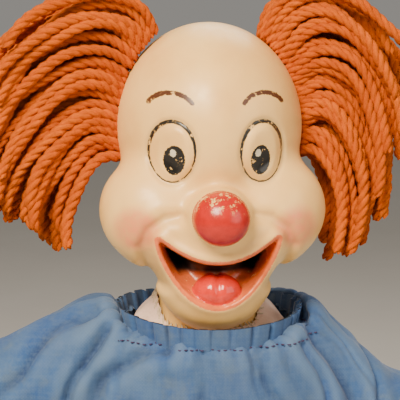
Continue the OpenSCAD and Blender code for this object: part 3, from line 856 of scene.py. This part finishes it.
BACK_CREASES = [
    ([(-34, -73), (-44, -80), (-53, -92), (-58, -110)], 2.4, 1.9),
    ([(-24, -77), (-30, -86), (-36, -100), (-37, -120)], 2.0, 1.8),
    ([(-8, -77), (-10, -90), (-16, -108), (-17, -130)], 1.5, 2.2),
    ([(7, -77), (8, -92), (6, -110), (9, -130)], 1.5, 2.2),
    ([(22, -77), (28, -88), (33, -104), (33, -124)], 2.0, 1.8),
    ([(33, -75), (42, -84), (49, -98), (53, -116)], 2.6, 2.0),
]


def crease_height(x, z, creases):
    """Height of the creases at each point: a groove with a soft rise on both sides."""
    out = np.zeros_like(x)
    for line, depth, width in creases:
        line = np.array(line, float)
        d = line_distance(x, z, curve_through(line, 6 * len(line)))
        ends = step(line[-1, 1] - 2, line[-1, 1] + 16, z)
        out += ends * depth * (0.45 * bump(d - 2.6 * width, 2.0 * width) - bump(d, width))
    return out


def valleys(phase, width):
    """1 along narrow valleys where the phase is a multiple of pi, 0 between."""
    return np.exp(-((np.sin(phase) / width) ** 2))


def gather_folds(p, x, y, z):
    """Folds that run out from the gather line: many close to it, few far from it."""
    a = neck_angle(x, y)
    s = np.hypot((neck_radius(x, y) - 1) * 30, z - gather_z(a))
    warp = fractal(p, 1 / 30, 2, 3)
    near = 0.55 - 1.4 * valleys(19 * a + 2.5 * warp, 0.40)
    mid = 0.5 - 1.7 * valleys(7.5 * a + 1.7 * warp + 0.6, 0.30)
    far = 0.5 - 1.9 * valleys(4 * a + 1.5 * warp + 1.1, 0.22)
    gather = near * np.exp(-((s / 7) ** 1.5))
    gather += mid * (1 - np.exp(-s / 4)) * np.exp(-s / 24)
    gather += far * (1 - np.exp(-s / 12)) * np.exp(-s / 55)
    return gather * step(-150, -115, z)


def long_creases(x, y, z):
    """The creases of the front and of the back, which fade out at the side seams."""
    creases = np.zeros_like(x)
    for rows, side in ((FRONT_CREASES, y < SEAM_Y), (BACK_CREASES, y > SEAM_Y)):
        creases[side] = crease_height(x[side], z[side], rows)
    return creases * (1 - bump(y - SEAM_Y, 5))


def body_folds(p, x, y, z):
    """Hanging folds between the armpits and the hips, with puckers round the waist."""
    a = neck_angle(x, y)
    turn = 0.9 * fractal(p * np.array([1, 1, 0.45]), 1 / 26, 2, 5)
    body = 0.8 - 1.9 * valleys(5.5 * a + 1.6 * turn + 0.012 * z, 0.30)
    body += 0.4 - 1.0 * valleys(9.5 * a + 2.4 * turn - 0.02 * z, 0.26)
    waist = 1.2 * np.sin((z + 170) / 2.9 + 2.0 * np.sin(2 * a) + 3 * turn) * bump(z + 171, 9)
    return (body + waist) * step(-118, -145, z) * step(58, 50, np.abs(x)) * step(-216, -204, z)


def limb_folds(p, x, y, z):
    """Long folds down sleeves and legs, crossed by folds at the joint and gathered at the end."""
    b = np.arctan2(y, np.abs(x) - ARM_X)
    turn = 0.6 * fractal(p * np.array([1, 1, 0.6]), 1 / 17, 2, 9)
    long = (0.6 - 1.6 * valleys(3 * b + 3 * turn + 0.03 * z, 0.28)) * step(-116, -138, z)
    elbow = 0.5 - 2.0 * valleys((z - ELBOW_Z) / 7.5 + 0.9 * np.sin(b + 0.6) + 2 * turn, 0.33)
    wrist = 0.5 - 1.5 * valleys(5.5 * b + 1.2 * turn, 0.34)
    long = long * (1 - 0.7 * bump(z - ELBOW_Z, 15)) + elbow * bump(z - ELBOW_Z, 17)
    sleeve = (long + wrist * np.exp(-np.abs(z + 212) / 12)) * (np.abs(x) > 57.5)
    b = np.arctan2(y, np.abs(x) - LEG_X)
    turn = 0.6 * fractal(p * np.array([1, 1, 0.6]), 1 / 20, 2, 13)
    long = (0.7 - 1.8 * valleys(2.5 * b + 3 * turn, 0.26)) * step(-206, -226, z)
    knee = 0.5 - 2.1 * valleys((z - KNEE_Z) / 8.0 + 0.9 * np.sin(b + 2.4) + 2 * turn, 0.32)
    hem = 0.5 - 1.6 * valleys(5.5 * b + 1.2 * turn, 0.34)
    long = long * (1 - 0.7 * bump(z - KNEE_Z, 16)) + knee * bump(z - KNEE_Z, 18)
    leg = (long + hem * np.exp(-np.abs(z + 325) / 13)) * (z < -206)
    return sleeve + leg


def fold_height(p):
    """How far the cloth stands out at each point, in mm."""
    x, y, z = p.T
    large = gather_folds(p, x, y, z) + long_creases(x, y, z) + body_folds(p, x, y, z) + limb_folds(p, x, y, z)
    return large + 0.30 * fractal(p, 1 / 6.5, 3, 21) + 0.5 * fractal(p, 1 / 15, 2, 31)


# ---------------------------------------------------------------- the suit's pieces
# where the suit is divided: distances from the middle, then heights
SHOULDER_CUT, ARM_CUT, SLEEVE_CUT = 52, 55, 60
ARMPIT_Z, ELBOW_CUT, WAIST_CUT, HIP_CUT, KNEE_CUT = -121.5, -154, -154.0, -204, -252
WRIST_END, ANKLE_END = -210.5, -323.5


def face_part(c, n):
    """Name of the piece each face belongs to; empty inside the neck, wrist and ankle openings."""
    x, y, z = c.T
    part = np.full(len(c), "suit_body", dtype=object)
    part[z < WAIST_CUT] = "suit_waist"
    for s, word in SIDES:
        arm = s * x
        part[(arm > SHOULDER_CUT) & (z > ARMPIT_Z)] = "suit_shoulder_" + word
        part[(arm > SLEEVE_CUT) | (arm > ARM_CUT) & (z < ARMPIT_Z)] = "suit_upper_sleeve_" + word
        part[(arm > ARM_CUT) & (z < ELBOW_CUT)] = "suit_lower_sleeve_" + word
        part[(arm > ARM_CUT) & (z < WRIST_END)] = ""
        leg = (arm > 0) & (z < HIP_CUT) & (arm < ARM_CUT)
        part[leg] = "suit_hip_" + word
        part[leg & (z < KNEE_CUT)] = "suit_knee_" + word
        part[leg & (z < ANKLE_END)] = ""
    a = neck_angle(x, y)
    floor = (neck_radius(x, y) < 1.0) & (np.abs(z - gather_z(a)) < 4) & (n[:, 2] > 0.35)
    part[floor | (neck_radius(x, y) < 0.9) & (z > -90)] = ""
    return part


THREAD_PITCH = 0.00115  # in metres, as the material's coordinates are


def suit_material():
    m = Mat("faded_blue_cotton")
    co = m.coords()
    facing = m.xyz(m.node("ShaderNodeNewGeometry").outputs["Normal"])
    turn_per_m = 2 * math.pi / THREAD_PITCH
    sx, sy, sz = (m.math("SINE", m.times(v, turn_per_m)) for v in m.xyz(co))
    wx, wy, wz = (m.math("POWER", m.math("ABSOLUTE", v), 3.0) for v in facing)
    front = m.times(m.times(sx, sz), wy)
    side = m.times(m.times(sy, sz), wx)
    top = m.times(m.times(sx, sy), wz)
    weave = m.math("MULTIPLY_ADD", m.plus(m.plus(front, side), top), 0.5, 0.5)
    threads = m.threads(900, 0.65, 0.14)
    cloud = m.noise(38, 4, 0.6)
    patch = m.noise(95, 4, 0.65)
    streak = m.noise(62, 3, 0.5, m.scaled(co, (1.0, 1.0, 0.30)), 0.25)
    base = m.mix(m.span(cloud, 0.32, 0.68), (0.018, 0.070, 0.245), (0.034, 0.100, 0.255))
    base = m.mix(m.span(patch, 0.48, 0.70, 0, 0.60), base, (0.085, 0.130, 0.195))
    base = m.mix(m.span(streak, 0.46, 0.56, 0, 0.40), base, (0.052, 0.100, 0.190))
    # lighter on the tops of the folds, painted light, and much darker down in the fold valleys, painted shade
    crest = m.attr("crest")
    base = m.mix(m.span(crest, 0.3, 2.2, 0, 0.50), base, (0.115, 0.205, 0.355))
    base = m.mix(m.span(crest, -0.2, -2.2, 0, 0.75), base, (0.008, 0.028, 0.105))
    base = m.mix(m.span(threads, 0.38, 0.62, 0, 0.28), base, (0.100, 0.170, 0.290))
    base = m.mix(m.times(weave, 0.22), base, (0.022, 0.056, 0.145))
    m.set(
        Base_Color=base,
        Roughness=0.9,
        Normal=m.bump(weave, 0.00010, 0.55, m.bump(threads, 0.00025, 0.55)),
        Sheen_Weight=0.12,
        Sheen_Roughness=0.45,
        Sheen_Tint=(0.75, 0.85, 1.0, 1),
    )
    return m


CLOTH_T = 0.45
cotton = suit_material()
pts, quads = level_set(suit_sdf, (-98, -44, -334), (98, 44, -58), 0.95)
pts = relax(pts, quads, 3, 0.5)
height = fold_height(pts)
pts = pts + vertex_normals(pts, quads) * height[:, None]
pts = relax(pts, quads, 1, 0.3)
normals = vertex_normals(pts, quads)
part_of_face = face_part(pts[quads].mean(1), normals[quads].mean(1))

# piece: the body it moves with and a second body at its bend (a piece that has one is left unattached, and
# nothing bends it), start and end of that bend, which nothing reads, CAD nodes it stands for
SUIT = {
    "suit_body": ("torso", None, None, None, ["tunic"]),
    "suit_waist": ("torso", "pelvis", (0, 0, -162), (0, 0, -190), ["trouser_seat"]),
}
for s, word in SIDES:
    link, upper, fore = "shoulder_link_" + word, "upper_arm_" + word, "forearm_" + word
    thigh, shin = "thigh_" + word, "shin_" + word
    sleeves = ["upper_sleeve_" + word], ["lower_sleeve_" + word]
    SUIT["suit_shoulder_" + word] = ("torso", link, (s * 52, 0, 0), (s * 58.2, 0, 0), [])
    SUIT["suit_upper_sleeve_" + word] = (link, upper, (s * 56, 0, -125), (s * 68, 0, -137), sleeves[0])
    SUIT["suit_lower_sleeve_" + word] = (upper, fore, (0, 0, -156), (0, 0, -181), sleeves[1])
    SUIT["suit_hip_" + word] = ("pelvis", thigh, (0, 0, -204), (0, 0, -236), ["trouser_thigh_" + word])
    SUIT["suit_knee_" + word] = (thigh, shin, (0, 0, -256), (0, 0, -292), ["trouser_shin_" + word])

# piece: width and length it was cut to and its flat area, in metres, and what it lies on
SUIT_CUTS = {
    "suit_body": ((0.42, 0.090), 0.0270, "chest_block"),
    "suit_waist": ((0.30, 0.055), 0.0145, "pelvis_block"),
    "suit_shoulder": ((0.10, 0.014), 0.0012, "shoulder_bolt_SIDE"),
    "suit_upper_sleeve": ((0.14, 0.065), 0.0080, "upper_arm_SIDE"),
    "suit_lower_sleeve": ((0.11, 0.060), 0.0061, "forearm_SIDE"),
    "suit_hip": ((0.14, 0.058), 0.0075, "thigh_SIDE"),
    "suit_knee": ((0.13, 0.080), 0.0095, "shin_SIDE"),
}

for name, (body_a, body_b, start, end, stands_for) in SUIT.items():
    f = quads[part_of_face == name]
    used, index = np.unique(f, return_inverse=True)
    f = index.reshape(f.shape)
    # the fold height goes in as crest, which the cotton turns into painted light and painted shade
    piece = thick_sheet(name, pts[used], f, normals[used], CLOTH_T, {"crest": height[used]})
    cotton.on(piece)
    if body_b:
        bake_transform(piece)
    else:
        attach(piece, body_a)
    if stands_for:
        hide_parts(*stands_for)
    cut, flat_area, under = SUIT_CUTS[name.removesuffix("_left").removesuffix("_right")]
    under = under.replace("SIDE", name.rsplit("_", 1)[-1])


# ---------------------------------------------------------------- gathered edges
FRILL_ROWS, FRILL_T = 9, 0.8
RUFFLE_COLUMNS = 720


def frill(name, centre, base_r, base_z, lean, tall, waves, depth, seed, columns):
    """A gathered band of cloth standing up or hanging down from a ring."""
    rng = np.random.default_rng(seed)
    a = np.linspace(-math.pi, math.pi, columns, endpoint=False)
    drift = sum(rng.uniform(0.1, 0.35) * np.sin(k * a + rng.uniform(0, 6.28)) for k in range(1, 7))
    wide = sum(rng.uniform(0.2, 0.5) * np.sin(k * a + rng.uniform(0, 6.28)) for k in (3, 5, 8, 11))
    tuck = valleys(waves / 2 * a + 2.6 * drift, 0.34) * np.clip(0.8 + 0.75 * wide, 0.15, 1.5)
    grid, crest = [], []
    for k in range(FRILL_ROWS):
        t = k / (FRILL_ROWS - 1)
        grow = 0.45 + 0.55 * t
        out = lean * t**1.3 + depth * grow * (0.35 - tuck) + 0.5 * wide * t
        z = base_z(a) + tall * t * (1 + 0.035 * wide) - 0.5 * math.copysign(1, tall) * tuck * t
        x, y = centre[0] + (base_r[0] + out) * np.sin(a), centre[1] - (base_r[1] + out) * np.cos(a)
        grid.append(np.stack([x, y, z], 1))
        # how far the frill stands out, which the cotton turns into painted light on the tops and painted
        # shade in the tucks
        crest.append(depth * grow * (0.5 - 1.6 * tuck))
    p, f = ring_grid(np.array(grid))
    f, n = outward(p, f, np.array([centre[0], centre[1], p[:, 2].mean()]))
    n[:, 2] *= 0.6
    piece = thick_sheet(name, p, f, unit(n), FRILL_T, {"crest": np.concatenate(crest)})
    cotton.on(piece)
    return piece


ruffle = frill(
    "neck_ruffle", (0, NECK_Y), (NECK_R[0] + 0.9, NECK_R[1] + 3.2), lambda a: gather_z(a) - 2.6,
    lean=1.2, tall=9.0, waves=34, depth=1.6, seed=3, columns=RUFFLE_COLUMNS,
)
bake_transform(ruffle)
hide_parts("neck_elastic")
for s, word in SIDES:
    cuff = frill(
        "wrist_frill_" + word, (s * HAND_X, 0), (10.2, 10.2), lambda a: -208.6,
        lean=5.0, tall=-9.5, waves=18, depth=1.9, seed=20 + s, columns=RUFFLE_COLUMNS // 2,
    )
    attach(cuff, "forearm_" + word)
    hem = frill(
        "ankle_frill_" + word, (s * SHOE_X, 0), (12.0, 12.0), lambda a: -321.8,
        lean=5.0, tall=-9.0, waves=20, depth=1.9, seed=30 + s, columns=RUFFLE_COLUMNS // 2,
    )
    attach(hem, "shin_" + word)


def thread_material(name, tint):
    m = Mat(name)
    strands = m.noise(4200, 2, 0.5)
    m.set(
        Base_Color=m.mix(m.span(strands, 0.35, 0.65), tint, [c * 0.55 for c in tint]),
        Roughness=0.75,
        Normal=m.bump(strands, 0.00006, 0.6),
    )
    return m


near_neck = (np.abs(pts[quads].mean(1)[:, 2] + 78) < 8) & (part_of_face != "")
neck_tree = BVHTree.FromPolygons(pts.tolist(), quads[near_neck].tolist())
STITCH_PITCH, STITCH_GAP, STITCH_R = 2.3, 0.42, 0.24


def stitch_z(a):
    return gather_z(a) - 0.9


def surface_radius(a):
    """How far out the cloth lies at the running stitch, at each angle."""
    start = 40
    out = []
    for v in a:
        d = Vector((math.sin(v) * NECK_R[0], -math.cos(v) * NECK_R[1], 0)).normalized()
        far = Vector((0, NECK_Y, float(stitch_z(v)))) + d * start
        hit = neck_tree.ray_cast(far, -d, 14)
        out.append(start - hit[3] if hit[0] is not None else 33.0)
    return np.array(out)


def running_stitch():
    """Dashes of thread on the cloth, round the neck."""
    fine = np.linspace(-math.pi, math.pi, 600)
    r = surface_radius(fine)
    p = np.stack([r * np.sin(fine), NECK_Y - r * np.cos(fine)], 1)
    along = lengths_along(p)
    count = int(along[-1] / STITCH_PITCH)
    rng = np.random.default_rng(11)
    lift = 0.35 * np.sin(np.linspace(0, math.pi, 5))
    paths = []
    for k in range(count):
        at = (k + np.linspace(0, 1 - STITCH_GAP, 5)) * along[-1] / count
        a = np.interp(at, along, fine)
        r = surface_radius(a) + lift
        z = stitch_z(a) + rng.uniform(-0.15, 0.15)
        paths.append(np.stack([r * np.sin(a), NECK_Y - r * np.cos(a), z], 1))
    return tubes("gather_stitches", paths, STITCH_R)


place(running_stitch(), thread_material("violet_thread", (0.055, 0.03, 0.10)), "torso", "blue_cotton")


# ---------------------------------------------------------------- cloth funnel sewn to the neck
FUNNEL_R = 18.7


def stitch_ring_z(a):
    """Height of the funnel's sewn edge, which dips under the chin."""
    return -68.0 - 9.5 * step(-0.1, 0.65, np.cos(a))


def funnel_piece():
    columns = 480
    a = np.linspace(-math.pi, math.pi, columns, endpoint=False)
    rng = np.random.default_rng(8)
    pleat = sum(rng.uniform(0.3, 0.7) * np.sin(k * a + rng.uniform(0, 6.28)) for k in (7, 11, 17, 26))
    # radius, and height above the sewn edge
    profile = [(FUNNEL_R, 1.0), (19.3, 0.7), (20.2, -0.2), (22.5, -1.6), (25.3, -3.4), (27.6, -6.0)]
    profile += [(28.6, -10.0), (29.0, -14.0), (29.0, -18.0)]
    grid = []
    for r, dz in curve_through(np.array(profile, float), 26):
        fall = min(1.0, (r - FUNNEL_R) / 8)
        z = stitch_ring_z(a) * (1 - 0.6 * fall) - 73.0 * 0.6 * fall + dz + 0.25 * pleat * fall
        wavy_r = r + 0.35 * fall * pleat
        grid.append(np.stack([wavy_r * np.sin(a), -wavy_r * np.cos(a), z], 1))
    p, f = ring_grid(np.array(grid))
    f, n = outward(p, f, np.array([0, 0, -84.0]))
    return thick_sheet("neck_funnel", p, f, n, 0.4)


def calico_material():
    m = Mat("pink_calico")
    weave = m.threads(1300, 0.6, 0.2)
    stain = m.noise(120, 4, 0.6)
    base = m.mix(m.span(stain, 0.35, 0.7), (0.70, 0.50, 0.42), (0.58, 0.40, 0.29))
    base = m.mix(m.span(weave, 0.4, 0.62, 0, 0.3), base, (0.80, 0.66, 0.56))
    m.set(Base_Color=base, Roughness=0.88, Normal=m.bump(weave, 0.0002, 0.6), Sheen_Weight=0.2)
    return m


calico = calico_material()
funnel = funnel_piece()
calico.on(funnel)
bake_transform(funnel)
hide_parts("neck_cloth")


def whip_stitches():
    rng = np.random.default_rng(14)
    paths, count = [], 54
    for k in range(count):
        a = 2 * math.pi * (k + rng.uniform(-0.25, 0.25)) / count
        lean = rng.uniform(0.03, 0.09)
        t = np.linspace(0, 1, 6)
        ang = a + lean * (t - 0.5) * 2
        r = 18.55 + 2.0 * t**1.6 + 0.45 * np.sin(math.pi * t)
        z = stitch_ring_z(ang) + 2.1 - 3.6 * t + rng.uniform(-0.3, 0.3)
        paths.append(np.stack([r * np.sin(ang), -r * np.cos(ang), z], 1))
    return tubes("neck_whip_stitches", paths, 0.42)


place(whip_stitches(), thread_material("cream_thread", (0.72, 0.58, 0.40)), "head", "calico")


# ---------------------------------------------------------------- hands
DARTS_Y, DARTS_Z = (-4.2, 0.2, 4.6), -237.5


def dart_offset(Y, Z, y):
    """Distance along Y from the slanting line of a dart."""
    return Y - y - 0.05 * (Z + 238)


def side_box(s, lo, hi):
    """The box from lo to hi, on the side s of the middle."""
    near, far = sorted((s * lo[0], s * hi[0]))
    return (near, *lo[1:]), (far, *hi[1:])


def hand_sdf(X, Y, Z, s):
    """A padded glove: palm towards the body, thumb to the front, three fingers. U points outwards."""
    U = s * X - HAND_X
    d = ell(U, Y, Z, (0.3, 0.3, -237.5), (6.1, 10.6, 10.5))
    d = smin(d, capsule(U, Y, Z, (0, 0, -226.5), (0, 0, -233), 6.2, 7.0), 4)
    for y, tip_y, tip_z in ((-6.6, -7.6, -257.2), (0.2, 0.2, -258.6), (6.6, 7.8, -256.4)):
        knuckle = (-0.4, (y + tip_y) / 2, -250.5)
        finger = capsule(U, Y, Z, (0.2, y, -243.5), knuckle, 3.7, 3.5)
        finger = smin(finger, capsule(U, Y, Z, knuckle, (-2.4, tip_y, tip_z), 3.5, 3.1), 1.5)
        d = smin(d, finger, 1.6)
    thumb = capsule(U, Y, Z, (-0.6, -7, -235.5), (-1.6, -13.2, -241.5), 4.0, 3.7)
    thumb = smin(thumb, capsule(U, Y, Z, (-1.6, -13.2, -241.5), (-3.2, -15.8, -247.5), 3.7, 3.2), 1.5)
    d = smin(d, thumb, 3.0)
    for y in DARTS_Y:
        dart = np.hypot(dart_offset(Y, Z, y), np.maximum(np.abs(Z - DARTS_Z) - 5.0, 0))
        d = d + 0.75 * bump(dart, 0.55) * step(1.0, 3.0, U)
    roll = np.hypot(np.hypot(U, Y) - 6.9, Z + 226.8) - 1.5
    d = smin(d, roll, 0.6)
    tongue = np.maximum(np.hypot(Y, Z + 220) - 4.6, np.abs(U) - 1.9)
    neck = np.maximum(np.abs(U) - 1.9, np.maximum(np.abs(Y) - 4.2, np.maximum(-228 - Z, Z + 220)))
    return np.minimum(d, np.minimum(tongue, neck))


def glove_material():
    m = Mat("glove_cotton")
    knit = m.noise(1500, 2, 0.5, m.scaled(m.coords(), (1.0, 1.0, 0.35)))
    stain = m.noise(130, 4, 0.6)
    base = m.mix(m.span(stain, 0.4, 0.75), (0.80, 0.74, 0.62), (0.60, 0.52, 0.39))
    # darker along the pressed-in darts: painted shade
    groove = m.span(m.attr("dart"), 1.0, 0.2, 0, 0.6)
    base = m.mix(groove, base, (0.30, 0.23, 0.16))
    tips = m.span(m.attr("up"), -252.0, -259.0, 0, 0.35)
    base = m.mix(m.times(tips, m.span(stain, 0.3, 0.6)), base, (0.40, 0.33, 0.24))
    m.set(Base_Color=base, Roughness=0.85, Normal=m.bump(knit, 0.00018, 0.6), Sheen_Weight=0.2)
    return m


glove = glove_material()
for s, word in SIDES:
    lo, hi = side_box(s, (61, -24, -264), (83, 14, -213))
    p, f = level_set(hand_sdf, lo, hi, 0.45, s)
    p = relax(p, f, 2, 0.4)
    x, y, z = p.T
    dart = np.min([np.abs(dart_offset(y, z, middle)) for middle in DARTS_Y], axis=0)
    dart = np.where((s * x - HAND_X > 1.5) & (np.abs(z - DARTS_Z) < 5.4), dart, 5.0)
    hand = mesh_object("glove_" + word, p, f, {"dart": dart, "up": z})
    place(hand, glove, "hand_" + word, "glove", "hand_" + word)


# ---------------------------------------------------------------- shoes
SHOE_TOP, UPPER_BASE, GROUND_Z = -334.6, -355.9, -360


def shoe_parts(U, Y, Z):
    """Distances to the whole upper and to its toe."""
    toe = ell(U, Y, Z, (1.5, -36, -347.5), (15.2, 15.0, 14.2))
    heel = ell(U, Y, Z, (0.0, 5.0, -347.5), (10.6, 11.8, 13.0))
    waist = capsule(U, Y, Z, (1.0, -28, -350), (0.2, 2, -349), 11.0, 9.6)
    throat = capsule(U, Y, Z, (0, -10, -346), (0, -1, -338.5), 9.0, 8.6)
    d = smin(smin(toe, heel, 6), smin(waist, throat, 6), 7)
    return d, toe


def shoe_sdf(X, Y, Z, s):
    U = s * X - SHOE_X
    d, toe = shoe_parts(U, Y, Z)
    bow = 0.045 * (U - 1.5) ** 2
    d = d + 0.8 * bump(Y + 25.5 + bow, 0.8) * step(-357, -352, Z)
    d = smin(d, np.maximum(toe, Y + 26.5 + bow) - 0.25, 0.8)
    counter = np.abs(Y - 3.0 - 0.25 * (Z + 350))
    d = d + 0.6 * bump(counter, 0.6) * step(3.0, 5.5, np.abs(U))
    placket = np.abs(np.abs(U) - 3.6)
    d = d + 0.6 * bump(placket, 0.6) * step(-26, -22, Y) * step(-8, -12, Y)
    collar = np.abs(np.hypot(U / 8.2, (Y + 1.2) / 9.2) - 1) * 8.5
    d = smin(d, np.hypot(collar, Z + 335.2) - 1.3, 1.0)
    d = smax(d, Z - SHOE_TOP, 1.0)
    well = np.maximum((np.hypot(U / 6.6, (Y + 1.2) / 7.8) - 1) * 7, -344 - Z)
    d = smax(d, -well, 1.0)
    shin_slot = np.maximum(np.abs(U) - 2.6, np.maximum(np.abs(Y + 1) - 8, -346 - Z))
    return np.maximum(np.maximum(d, -shin_slot), UPPER_BASE - Z)


def sole_outline(U, Y):
    toe = np.hypot(U - 1.5, Y + 36) - 16.0
    heel = np.hypot(U, Y - 5.5) - 11.2
    a, b = np.array([1.5, -36.0]), np.array([0.0, 5.5])
    d = b - a
    t = np.clip(((U - a[0]) * d[0] + (Y - a[1]) * d[1]) / (d @ d), 0, 1)
    waist = np.hypot(U - a[0] - d[0] * t, Y - a[1] - d[1] * t) - (16.0 - 4.8 * t)
    waist += 1.6 * bump(Y + 14, 9)
    return smin(smin(toe, heel, 4), waist, 2)


def sole_sdf(X, Y, Z, s):
    side = sole_outline(s * X - SHOE_X, Y)
    slab = np.abs(Z + 357.9) - 2.05
    d = smax(side + 0.5, slab, 1.2)
    d = d + 0.45 * bump(Z + 357.3, 0.45) * (np.abs(side) < 3)
    arch = np.maximum(np.abs(Y + 5.0) - 3.2, Z + 358.6)
    return np.maximum(smax(d, -arch, 0.8), GROUND_Z - Z)


def leather_material(name, tint, dark):
    m = Mat(name)
    grain = m.noise(1700, 4, 0.65)
    cracks = m.node("ShaderNodeTexVoronoi", feature="DISTANCE_TO_EDGE")
    m.put(cracks.inputs["Vector"], m.coords())
    cracks.inputs["Scale"].default_value = 900
    cell = m.span(cracks.outputs["Distance"], 0.0, 0.14)
    scuff = m.noise(160, 5, 0.7)
    low = m.span(m.attr("up"), -347.0, -356.0, 0, 0.55)
    base = m.mix(m.span(scuff, 0.35, 0.7), tint, dark)
    worn = m.times(m.span(scuff, 0.52, 0.62), low)
    base = m.mix(worn, base, [min(1.0, c * 1.6 + 0.10) for c in tint])
    m.set(
        Base_Color=base,
        Roughness=m.span(scuff, 0.3, 0.7, 0.28, 0.5),
        Normal=m.bump(cell, 0.00006, 0.5, m.bump(grain, 0.00008, 0.4)),
        Coat_Weight=0.2,
        Coat_Roughness=0.25,
    )
    return m


def rubber_material():
    m = Mat("sole_rubber")
    grit = m.noise(1300, 4, 0.7)
    mud = m.noise(110, 4, 0.6)
    m.set(
        Base_Color=m.mix(m.span(mud, 0.4, 0.7), (0.055, 0.045, 0.038), (0.14, 0.11, 0.085)),
        Roughness=m.span(grit, 0.3, 0.7, 0.6, 0.85),
        Normal=m.bump(grit, 0.00012, 0.5),
    )
    return m


shoe_leather = leather_material("red_shoe_leather", (0.50, 0.035, 0.025), (0.30, 0.018, 0.015))
rubber = rubber_material()
lace_cotton = thread_material("lace_cotton", (0.80, 0.74, 0.60))


def shoe_height(s, u, y):
    """Height of the top of the shoe at a place, for the laces to lie on."""
    z = np.linspace(-356, SHOE_TOP, 240)
    d = shoe_sdf(s * (SHOE_X + u), y, z, s)
    return z[np.nonzero(d < 0)[0].max()]


def lace_paths(s):
    """Crossed laces, then the two loops, the two ends and the knot of the bow."""
    paths = []
    eyelets = [-22.0, -18.4, -14.8, -11.4]
    for y0, y1 in zip(eyelets[:-1], eyelets[1:]):
        for side in (-1, 1):
            u = np.linspace(-4.6 * side, 4.6 * side, 12)
            y = np.linspace(y0, y1, 12)
            lift = 0.7 + 0.8 * np.sin(np.linspace(0, math.pi, 12)) * (1.0 if side > 0 else 0.45)
            z = np.array([shoe_height(s, a, b) for a, b in zip(u, y)]) + lift
            z[[0, -1]] -= 1.3
            paths.append(np.stack([s * (SHOE_X + u), y, z], 1))
    knot_y, middle = -11.5, s * SHOE_X
    top = shoe_height(s, 0, knot_y) + 2.2
    for side in (-1, 1):
        t = np.linspace(0, 2 * math.pi, 26)
        reach = 6.2 * (1 - np.cos(t)) / 2
        y = knot_y + 2.6 * np.sin(t) - 0.25 * reach
        z = top - 0.032 * reach**2 + 0.5 * np.sin(t / 2)
        paths.append(np.stack([middle + side * reach, y, z], 1))
        u = np.linspace(0, 7.5, 12) * side
        y = knot_y - 0.45 * np.abs(u) - 0.5
        z = np.array([max(shoe_height(s, np.clip(a, -9, 9), b) + 0.8, -350) for a, b in zip(u, y)])
        z[0] = top
        paths.append(np.stack([middle + u, y, np.maximum(z, top - 0.5 * np.abs(u))], 1))
    a = np.linspace(0, 2 * math.pi, 14)
    knot = np.stack([middle + 0.5 * np.cos(a), knot_y + 1.4 * np.sin(a), top + 0.4 + 1.1 * np.cos(a)], 1)
    return [*paths, knot]


for s, word in SIDES:
    lo, hi = side_box(s, (3, -54, -361), (41, 20, -332))
    foot, h_shoe = "foot_" + word, 0.5
    p, f = level_set(shoe_sdf, lo, hi, h_shoe, s)
    p = relax(p, f, 1, 0.3)
    p[:, 2] = np.maximum(p[:, 2], -355.95)
    upper = mesh_object("shoe_leather_" + word, p, f, {"up": p[:, 2]})
    place(upper, shoe_leather, foot, "shoe_red", "shoe_upper_" + word)
    p, f = level_set(sole_sdf, lo, hi, h_shoe, s)
    p = relax(p, f, 1, 0.3)
    p[:, 2] = np.maximum(p[:, 2], GROUND_Z)
    place(mesh_object("shoe_rubber_" + word, p, f), rubber, foot, "sole", "shoe_sole_" + word)
    place(tubes("shoe_laces_" + word, lace_paths(s), 0.62, 8), lace_cotton, foot, "calico")


# ---------------------------------------------------------------- chest pads
PAD_Z, PAD_Y, QUILT_PITCH = -131.5, 14.3, 22


def pad_sdf(X, Y, Z, side):
    """A quilted pad that lies flat on the chest block."""
    half = np.interp(Z, (-165, -140, -112, -98), (30, 34, 41, 40))
    flat = smax(np.abs(X) - half, np.abs(Z - PAD_Z) - 32.5, 8)
    thick = 6.2 * np.sqrt(np.clip(-flat / 14, 0, 1)) + 0.2
    quilt = 0.8 * bump((Z - PAD_Z) % QUILT_PITCH - QUILT_PITCH / 2, 1.6)
    outer = side * Y - PAD_Y - thick + quilt
    return np.maximum(np.maximum(flat, outer), PAD_Y - side * Y) * 0.7


for side, word in ((-1, "front"), (1, "back")):
    lo, hi = (-44, min(side * 13, side * 23), -168), (44, max(side * 13, side * 23), -95)
    p, f = level_set(pad_sdf, lo, hi, 1.0, side)
    p = relax(p, f, 2, 0.4)
    pad = mesh_object("chest_pad_" + word, p, f)
    place(pad, calico, "torso", "calico", *(["chest_pads"] if word == "front" else []))


# ---------------------------------------------------------------- floor and light
FLOOR_Z = -0.362


def stage_floor():
    m = Mat("floor_pale")
    n = m.noise(6, 4, 0.6)
    m.set(Base_Color=m.mix(n, (0.62, 0.60, 0.57), (0.56, 0.54, 0.51)), Roughness=0.8)
    bpy.ops.mesh.primitive_plane_add(size=8, location=(0, 0, FLOOR_Z))
    floor = bpy.context.object
    floor.name = "floor"
    m.on(floor)


stage_floor()
world = bpy.data.worlds.new("world")
scene.world = world
world.use_nodes = True
background = world.node_tree.nodes["Background"]
background.inputs["Color"].default_value = (0.82, 0.78, 0.72, 1)
background.inputs["Strength"].default_value = 0.33
LIGHTS_AT = Vector((0, 0, -0.05))


def area_light(name, spot, size, power, colour):
    data = bpy.data.lights.new(name, "AREA")
    data.size = size
    data.energy = power
    data.color = colour
    obj = bpy.data.objects.new(name, data)
    scene.collection.objects.link(obj)
    obj.location = spot
    obj.rotation_euler = (LIGHTS_AT - Vector(spot)).to_track_quat("-Z", "Y").to_euler()


area_light("key", (-0.35, -0.70, 0.60), 0.42, 25.0, (1.0, 0.83, 0.62))
area_light("fill", (0.75, -0.6, 0.15), 0.7, 3.6, (1.0, 0.93, 0.84))
area_light("rim", (0.2, 0.8, 0.7), 0.6, 5.0, (1.0, 0.95, 0.88))
